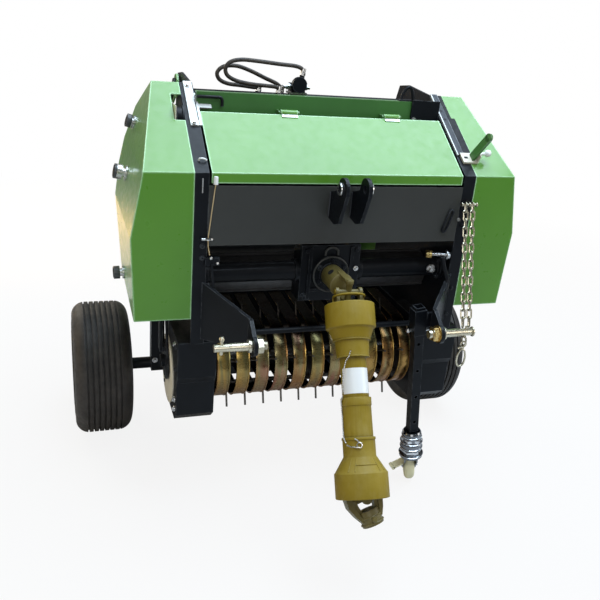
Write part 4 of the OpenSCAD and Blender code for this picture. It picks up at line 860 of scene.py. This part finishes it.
# Plate, sprockets and chain on the pickup's left end
plate = Solid("pickup_drive_plate", "cream_paint")
plate.lathe(P(-0.4155, 0.165, 0.372), -X, [(0.1, 0), (0.1, 0.0035), (0.097, 0.0045), (0, 0.0045)], 56)
# Depth and height of both sprockets
big, small = (0.16, 0.4), (0.196, 0.56)
drive = Solid("pickup_drive", "black_paint")
drive.sprocket(P(-0.422, *big), -X, 0.05, 0.006, 20)
drive.sprocket(P(-0.422, *small), -X, 0.028, 0.006, 12)
drive.rod(P(-0.416, *big), P(-0.44, *big), 0.018, 24)
drive.rod(P(-0.385, *small), P(-0.436, *small), 0.01, 20)
drive.box(P(-0.437, 0.186, 0.5), (0.008, 0.034, 0.15))
drive.box(P(-0.431, 0.186, 0.43), (0.02, 0.03, 0.014))
chain = []
# Sprocket, radius of the chain on it, angle at which the chain meets it
for (y, z), r, first in ((big, 0.051, 192), (small, 0.029, 12)):
    turns = [radians(first + 180 * k / 8) for k in range(9)]
    chain += [P(-0.425, y + r * cos(a), z + r * sin(a)) for a in turns]
drive.sweep(chain, 0.0042, 8, True)
for z in (0.304, 0.334, 0.504):
    bright_bolts.bolt(P(-0.416, 0.05, z), -X, 0.0055, 0.005)
for s in (-1, 1):
    for y, z in ((0.03, 0.44), (0.205, 0.44), (0.205, 0.31), (0.03, 0.505)):
        dark_bolts.bolt(P(s * 0.416, y, z), X * s, 0.006, 0.005)

# Parking leg and castor

# Ends of the leg's locking pin on its sleeve, which the leg slides past
sleeve_half, pin_r, left_end, right_end = 0.018, 0.0052, -0.03, 0.05
at = LEG_FOOT + LEG_UP * 0.551
pin = Solid("leg_pin", "silver")
pin.rod(at - X * sleeve_half, at + X * left_end, pin_r)
pin.rod(at + X * sleeve_half, at + X * right_end, pin_r)
pin.ball(at + X * left_end, 0.0075)
pin.ring(at + X * (right_end - 0.001), Y, 0.01, 0.0016, 24, 8)

# Rings, nuts and axle bolts of the castor's head
head = Solid("castor_head_rings", "bright_steel", "castor")
# Way up the leg, radius
for h, r in ((0.12, 0.0365), (0.146, 0.0335), (0.166, 0.0335), (0.187, 0.0295)):
    head.ring(LEG_FOOT + LEG_UP * h, LEG_UP, r, 0.0016, 40, 8)
# Way up the leg, radius at its ends and in its middle, height
for h, end_r, r, t in ((0.128, 0.0315, 0.0345, 0.011), (0.168, 0.031, 0.033, 0.013)):
    head.lathe(LEG_FOOT + LEG_UP * h, LEG_UP, [(end_r, 0), (r, 0.002), (r, t - 0.002), (end_r, t)], 6)
for s in (-1, 1):
    head.bolt(HUB + HUB_AXIS * s * 0.0205, HUB_AXIS * s, 0.0075, 0.006)

# Brake pedal of the castor
pedal = Solid("castor_pedal", "castor_plastic", "castor")
turn = Matrix.Rotation(radians(-24), 3, "Y")
root = HUB - HUB_AXIS * 0.021 + Z * 0.02 - Y * 0.012
pedal.box(root + Vector((-0.02, 0, -0.008)), (0.044, 0.026, 0.006), turn)
pedal.box(root + Vector((-0.003, 0, 0.012)), (0.008, 0.018, 0.034), turn)
pedal.disc(root + Vector((-0.041, -0.013, -0.0175)), Y, 0.0055, 0.026, 14)

# Levers and knobs of the covers

# Green arm over the CAD lever, with slotted bracket and pale knob
arm_w, arm_deep, arm_len, arm_end_r = 0.0075, 0.0236, 0.0816, 0.0118
turn = SLOPE_TURN @ Matrix.Rotation(radians(12), 3, "Y")
core = on_slope(0.387, 0.052, 0.004) + turn @ Vector((0.003, 0.011, 0.04))
arm = Solid("density_arm", "dark_green_paint")
arm.box(core, (arm_w, arm_deep, arm_len), turn)
arm.disc(core + turn @ Vector((0, 0, 0.04)) - turn @ X * arm_w / 2, turn @ X, arm_end_r, arm_w)
way_up = 0.063
slope_boxes("density_bracket", "cream_paint", (
    ((0.383, way_up, 0.0062), (0.046, 0.036, 0.0026)),
    ((0.4035, way_up, 0.017), (0.003, 0.034, 0.024))))
# The slot is a thin black box of painted shade
slope_boxes("density_slot", "hole_shade", (((0.372, way_up, 0.0074), (0.011, 0.007, 0.0012)),))
knob = Solid("density_knob", "white_plastic")
knob.rod(on_slope(0.404, way_up, 0.02), on_slope(0.428, way_up, 0.024), 0.0042)
profile = [(0.006, 0), (0.009, 0.003), (0.01, 0.009), (0.008, 0.015), (0, 0.017)]
knob.lathe(on_slope(0.424, way_up, 0.0235), X + OUT * 0.15, profile, 20)


def cover_x(z):
    """Half width of the covers at a height."""
    outline = [(0.598, 0.53), (0.817, 0.538), (0.981, 0.508), (1.158, 0.457)]
    for (z0, x0), (z1, x1) in zip(outline, outline[1:]):
        if z <= z1:
            return x0 + (x1 - x0) * (z - z0) / (z1 - z0)


# Bright sleeve of each knob on the covers, and its dark end in the black that paints the shade of holes
sleeves = Solid("knob_sleeves", "silver")
ends = Solid("knob_ends", "hole_shade")
tiny, long_knob = 0.001, 0.03
# Depth, height, radius, length
rows = ((0.343, 1.038, 0.018, 0.022), (0.267, 0.916, 0.02, 0.034), (0.25, 0.64, 0.018, 0.028))
for y, z, r, length in rows:
    lean = (cover_x(z) - cover_x(z + tiny)) / tiny
    foot = [(r * 1.03, 0.0005), (r * 1.03, 0.0044), (r * 0.6, 0.005), (r * 0.6, length * 0.41)]
    collar = [(r * 1.02, 0), (r * 1.02, length * 0.4), (r * 0.98, length * 0.42)]
    end = [(r * 0.82, -0.0005), (r * 0.8, 0.0012), (r * 0.5, 0.0016), (r * 0.45, 0.0008), (0, 0.0008)]
    for s in (-1, 1):
        axis = Vector((s, 0, lean)).normalized()
        at = P(s * cover_x(z), y, z)
        sleeves.lathe(at, axis, foot, 24)
        if length > long_knob:
            sleeves.lathe(at + axis * length * 0.39, axis, collar, 24)
        ends.lathe(at + axis * length, axis, end, 24)

# Bearings, gate and wheels


def flange_bolts(solid, at, axis, r=0.033, count=4):
    """Bolts round a bearing's flange."""
    axis, side, other = cross_axes(axis)
    for p in around(at, r, side, other, count, 0.5):
        solid.bolt(p, axis, 0.0055, 0.005)


# Bolts of the rollers' bearings in walls and gate, and of the axle arms' feet
wall_x, gate_x = 0.37, 0.367
gate_bolts = Solid("gate_bolts", "silver", "gate")
for k in range(1, 6):
    front = Vector(joint["front_roller_%d_spin" % k]["pos_m"])
    rear = Vector(joint["gate_roller_%d_spin" % k]["pos_m"])
    for s in (-1, 1):
        flange_bolts(dark_bolts, front + X * s * wall_x, X * s)
        flange_bolts(gate_bolts, rear + X * s * gate_x, X * s)
        cap = [(0.024, 0), (0.024, 0.002), (0.021, 0.004), (0, 0.004)]
        gate_bolts.lathe(rear + X * s * (gate_x - 0.0005), X * s, cap, 28)
bright_bolts.bolt(P(-0.413, 0.485, 0.231), -Y, 0.006, 0.008)
for s in (-1, 1):
    for z in (0.51, 0.536):
        dark_bolts.bolt(P(s * 0.364, 0.44, z), X * s, 0.0065, 0.006)

# Wheel nuts, rings and valve of the tyres, nuts of the axles
valve = [(0.0045, -0.02), (0.0045, 0.01), (0.003, 0.014), (0.003, 0.019)]
axle_nut = [(0.0285, 0), (0.0285, 0.0015), (0.024, 0.002), (0.024, 0.014), (0.021, 0.016), (0, 0.016)]
for side, s in SIDES:
    at = Vector(joint["wheel_%s_spin" % side]["pos_m"])
    nuts = Solid("wheel_nuts_" + side, "silver", "wheel_" + side)
    for p in around(at, 0.066, Y, Z, 5):
        nuts.bolt(p + X * s * 0.0135, X * s, 0.01, 0.011)
        nuts.bolt(p + X * s * 0.005, -X * s, 0.008, 0.006)
    rings = Solid("tyre_rings_" + side, "tyre_rubber", "wheel_" + side)
    for k in (-1, 1):
        for r, small in ((0.122, 0.003), (0.15, 0.002), (0.156, 0.0014)):
            rings.ring(at + X * k * 0.087, X, r, small, 72, 6)
    rings.lathe(at + X * s * 0.07 + Y * 0.078, X * s, valve, 12)
    hub = Solid("axle_nut_" + side, "silver")
    hub.lathe(at + X * s * 0.0365, X * s, axle_nut, 6)

# Hoses

# Routes of both hoses, in millimetres, as in the part's source
HOSES = (
    [(-41, 288, 1192), (-41, 288, 1206), (-60, 288, 1214), (-110, 288, 1217), (-170, 288, 1221),
     (-215, 288, 1222), (-246, 288, 1214), (-258, 288, 1196), (-250, 288, 1178), (-222, 288, 1166),
     (-180, 288, 1160), (-140, 288, 1158), (-114, 290, 1156), (-104, 292, 1150), (-104, 292, 1141)],
    [(-92, 312, 1141), (-92, 312, 1151), (-106, 313, 1163), (-140, 315, 1176), (-180, 315, 1192),
     (-220, 315, 1203), (-256, 315, 1200), (-274, 315, 1184), (-268, 314, 1166), (-244, 313, 1156),
     (-206, 312, 1153), (-174, 312, 1150), (-158, 312, 1149), (-158, 312, 1141)])
MM = 0.001

# Round hoses with crimped ends, and the fittings of their valve
hose = Solid("round_hoses", "hose_rubber", "frame", "hoses")
fittings = Solid("hose_fittings", "silver")
for route in HOSES:
    pts = smooth_line([P(x * MM, y * MM, z * MM) for x, y, z in route], 5)
    hose.sweep(pts, 0.0055, 14)
    for end, back in ((pts[0], pts[2]), (pts[-1], pts[-3])):
        d = (back - end).normalized()
        fittings.lathe(end, d, [(0.0085, -0.001), (0.0085, 0.006), (0.0072, 0.0065)], 6)
        fittings.lathe(end + d * 0.006, d, [(0.007, 0), (0.007, 0.01), (0.0062, 0.0125)], 18)
valve_x, valve_y = -0.05, 0.3
face = [(0.0165, -0.0005), (0.0165, 0.0015), (0.015, 0.003), (0.006, 0.003), (0.006, 0.007), (0, 0.007)]
fittings.lathe(P(valve_x, 0.286, 1.166), -Y, face, 28)
fittings.box(P(valve_x, valve_y, 1.1425), (0.05, 0.04, 0.005))
for s, length in ((1, 0.018), (-1, 0.02)):
    port = [(0.0085, 0), (0.0085, 0.01), (0.006, 0.011), (0.006, length)]
    fittings.lathe(P(valve_x + s * 0.02, valve_y, 1.158), X * s, port, 6)

# Stage, light and camera

WHITE = (1, 1, 1, 1)
FLOOR_HALF = 14
FLOOR_GREY = (0.55, 0.55, 0.55, 1)
# Share of plain white that the camera sees in the floor, near the object and far from it, and those distances
NEAR_WHITE, FAR_WHITE, NEAR, FAR = 0.87, 1, 1, 4
AMBIENT_COLOR, AMBIENT = (0.92, 0.96, 1, 1), 0.22


def empty_tree(owner):
    """The cleared node tree of a material or world, as the call that adds a node to it."""
    owner.use_nodes = True
    owner.node_tree.nodes.clear()
    return partial(add_node, owner.node_tree)


def floor_material():
    """Grey to the light, nearly white to the camera, so that the object's shadow stays."""
    mat = bpy.data.materials.new("floor")
    node = empty_tree(mat)
    where = node("NewGeometry").outputs["Position"]
    away = node("VectorMath", {0: where}, operation="LENGTH").outputs["Value"]
    fade = node("MapRange", {
        "Value": away, "From Min": NEAR, "From Max": FAR, "To Min": NEAR_WHITE, "To Max": FAR_WHITE})
    seen = node("LightPath").outputs["Is Camera Ray"]
    part = node("Math", {0: seen, 1: fade.outputs["Result"]}, operation="MULTIPLY")
    grey = node("BsdfDiffuse", {"Color": FLOOR_GREY})
    white = node("Emission", {"Color": WHITE})
    mix = node("MixShader", {"Fac": part.outputs[0], 1: grey.outputs[0], 2: white.outputs[0]})
    node("OutputMaterial", {"Surface": mix.outputs[0]})
    return mat


def lay_floor():
    mesh = bpy.data.meshes.new("floor")
    corners = [(x * FLOOR_HALF, y * FLOOR_HALF, 0) for x, y in ((-1, -1), (1, -1), (1, 1), (-1, 1))]
    mesh.from_pydata(corners, [], [[0, 1, 2, 3]])
    mesh.materials.append(floor_material())
    floor = show("floor", mesh)


def light_world():
    """A dim even light, white where the camera looks past the floor."""
    world = bpy.data.worlds.new("studio")
    scene.world = world
    node = empty_tree(world)
    seen = node("LightPath").outputs["Is Camera Ray"]
    ambient = node("Background", {"Color": AMBIENT_COLOR, "Strength": AMBIENT})
    white = node("Background", {"Color": WHITE})
    mix = node("MixShader", {"Fac": seen, 1: ambient.outputs[0], 2: white.outputs[0]})
    node("OutputWorld", {"Surface": mix.outputs[0]})


def softbox(name, at, target, size, power, color, beam=180):
    data = bpy.data.lights.new(name, "AREA")
    data.shape = "RECTANGLE"
    data.size, data.size_y = size
    data.energy = power
    data.color = color
    data.spread = radians(beam)
    obj = show(name, data)
    obj.location = at
    obj.rotation_euler = (Vector(target) - Vector(at)).to_track_quat("-Z", "Y").to_euler()


def light_studio():
    # Name, place, target, size in metres, power in watts, colour
    softbox("sky_box", (0.6, -0.2, 3.6), (0.1, 0, 0.7), (3.2, 2.6), 176, (0.82, 1, 1.18))
    softbox("front_box", (-1.8, -3.6, 2.2), (0, 0, 0.6), (2.4, 1.8), 34, (1, 0.98, 0.95))
    softbox("right_box", (3.4, -1.6, 1.8), (0.2, 0, 0.6), (1.6, 1.6), 30, (1, 0.97, 0.92))
    softbox("left_box", (-3.2, 0.4, 1.3), (-0.5, 0.3, 0.8), (1.2, 1.6), 16, (1, 0.76, 0.4))
    softbox("back_box", (-2.2, 3.4, 2.4), (0, 0.3, 0.6), (2.2, 1.8), 84, (1, 0.91, 0.76))
    # Warm light on the floor behind, which the left cover mirrors
    softbox("yard_box", (-2.2, 2.6, 0.9), (-0.8, 2.8, 0), (1, 0.8), 34, (1, 0.58, 0.18), 80)


def place_camera():
    """The camera fitted to the photograph: yaw to the right, pitch down, roll."""
    at = P(-0.694, -1.656, 1.363)
    yaw, pitch, roll = radians(19.99), radians(22.35), radians(5.24)
    flat = Vector((sin(yaw), cos(yaw), 0))
    forward = flat * cos(pitch) - Z * sin(pitch)
    level = Vector((cos(yaw), -sin(yaw), 0))
    upright = level.cross(forward)
    right = cos(roll) * level + sin(roll) * upright
    up = cos(roll) * upright - sin(roll) * level
    data = bpy.data.cameras.new("camera")
    data.sensor_width = 36
    data.lens = 42.46
    cam = show("camera", data)
    turn = Matrix((right, up, -forward)).transposed()
    cam.matrix_world = Matrix.Translation(at) @ turn.to_4x4()
    scene.camera = cam
    scene.view_settings.view_transform = "Standard"


for piece in Solid.made:
    piece.finish()
lay_floor()
light_world()
light_studio()
place_camera()
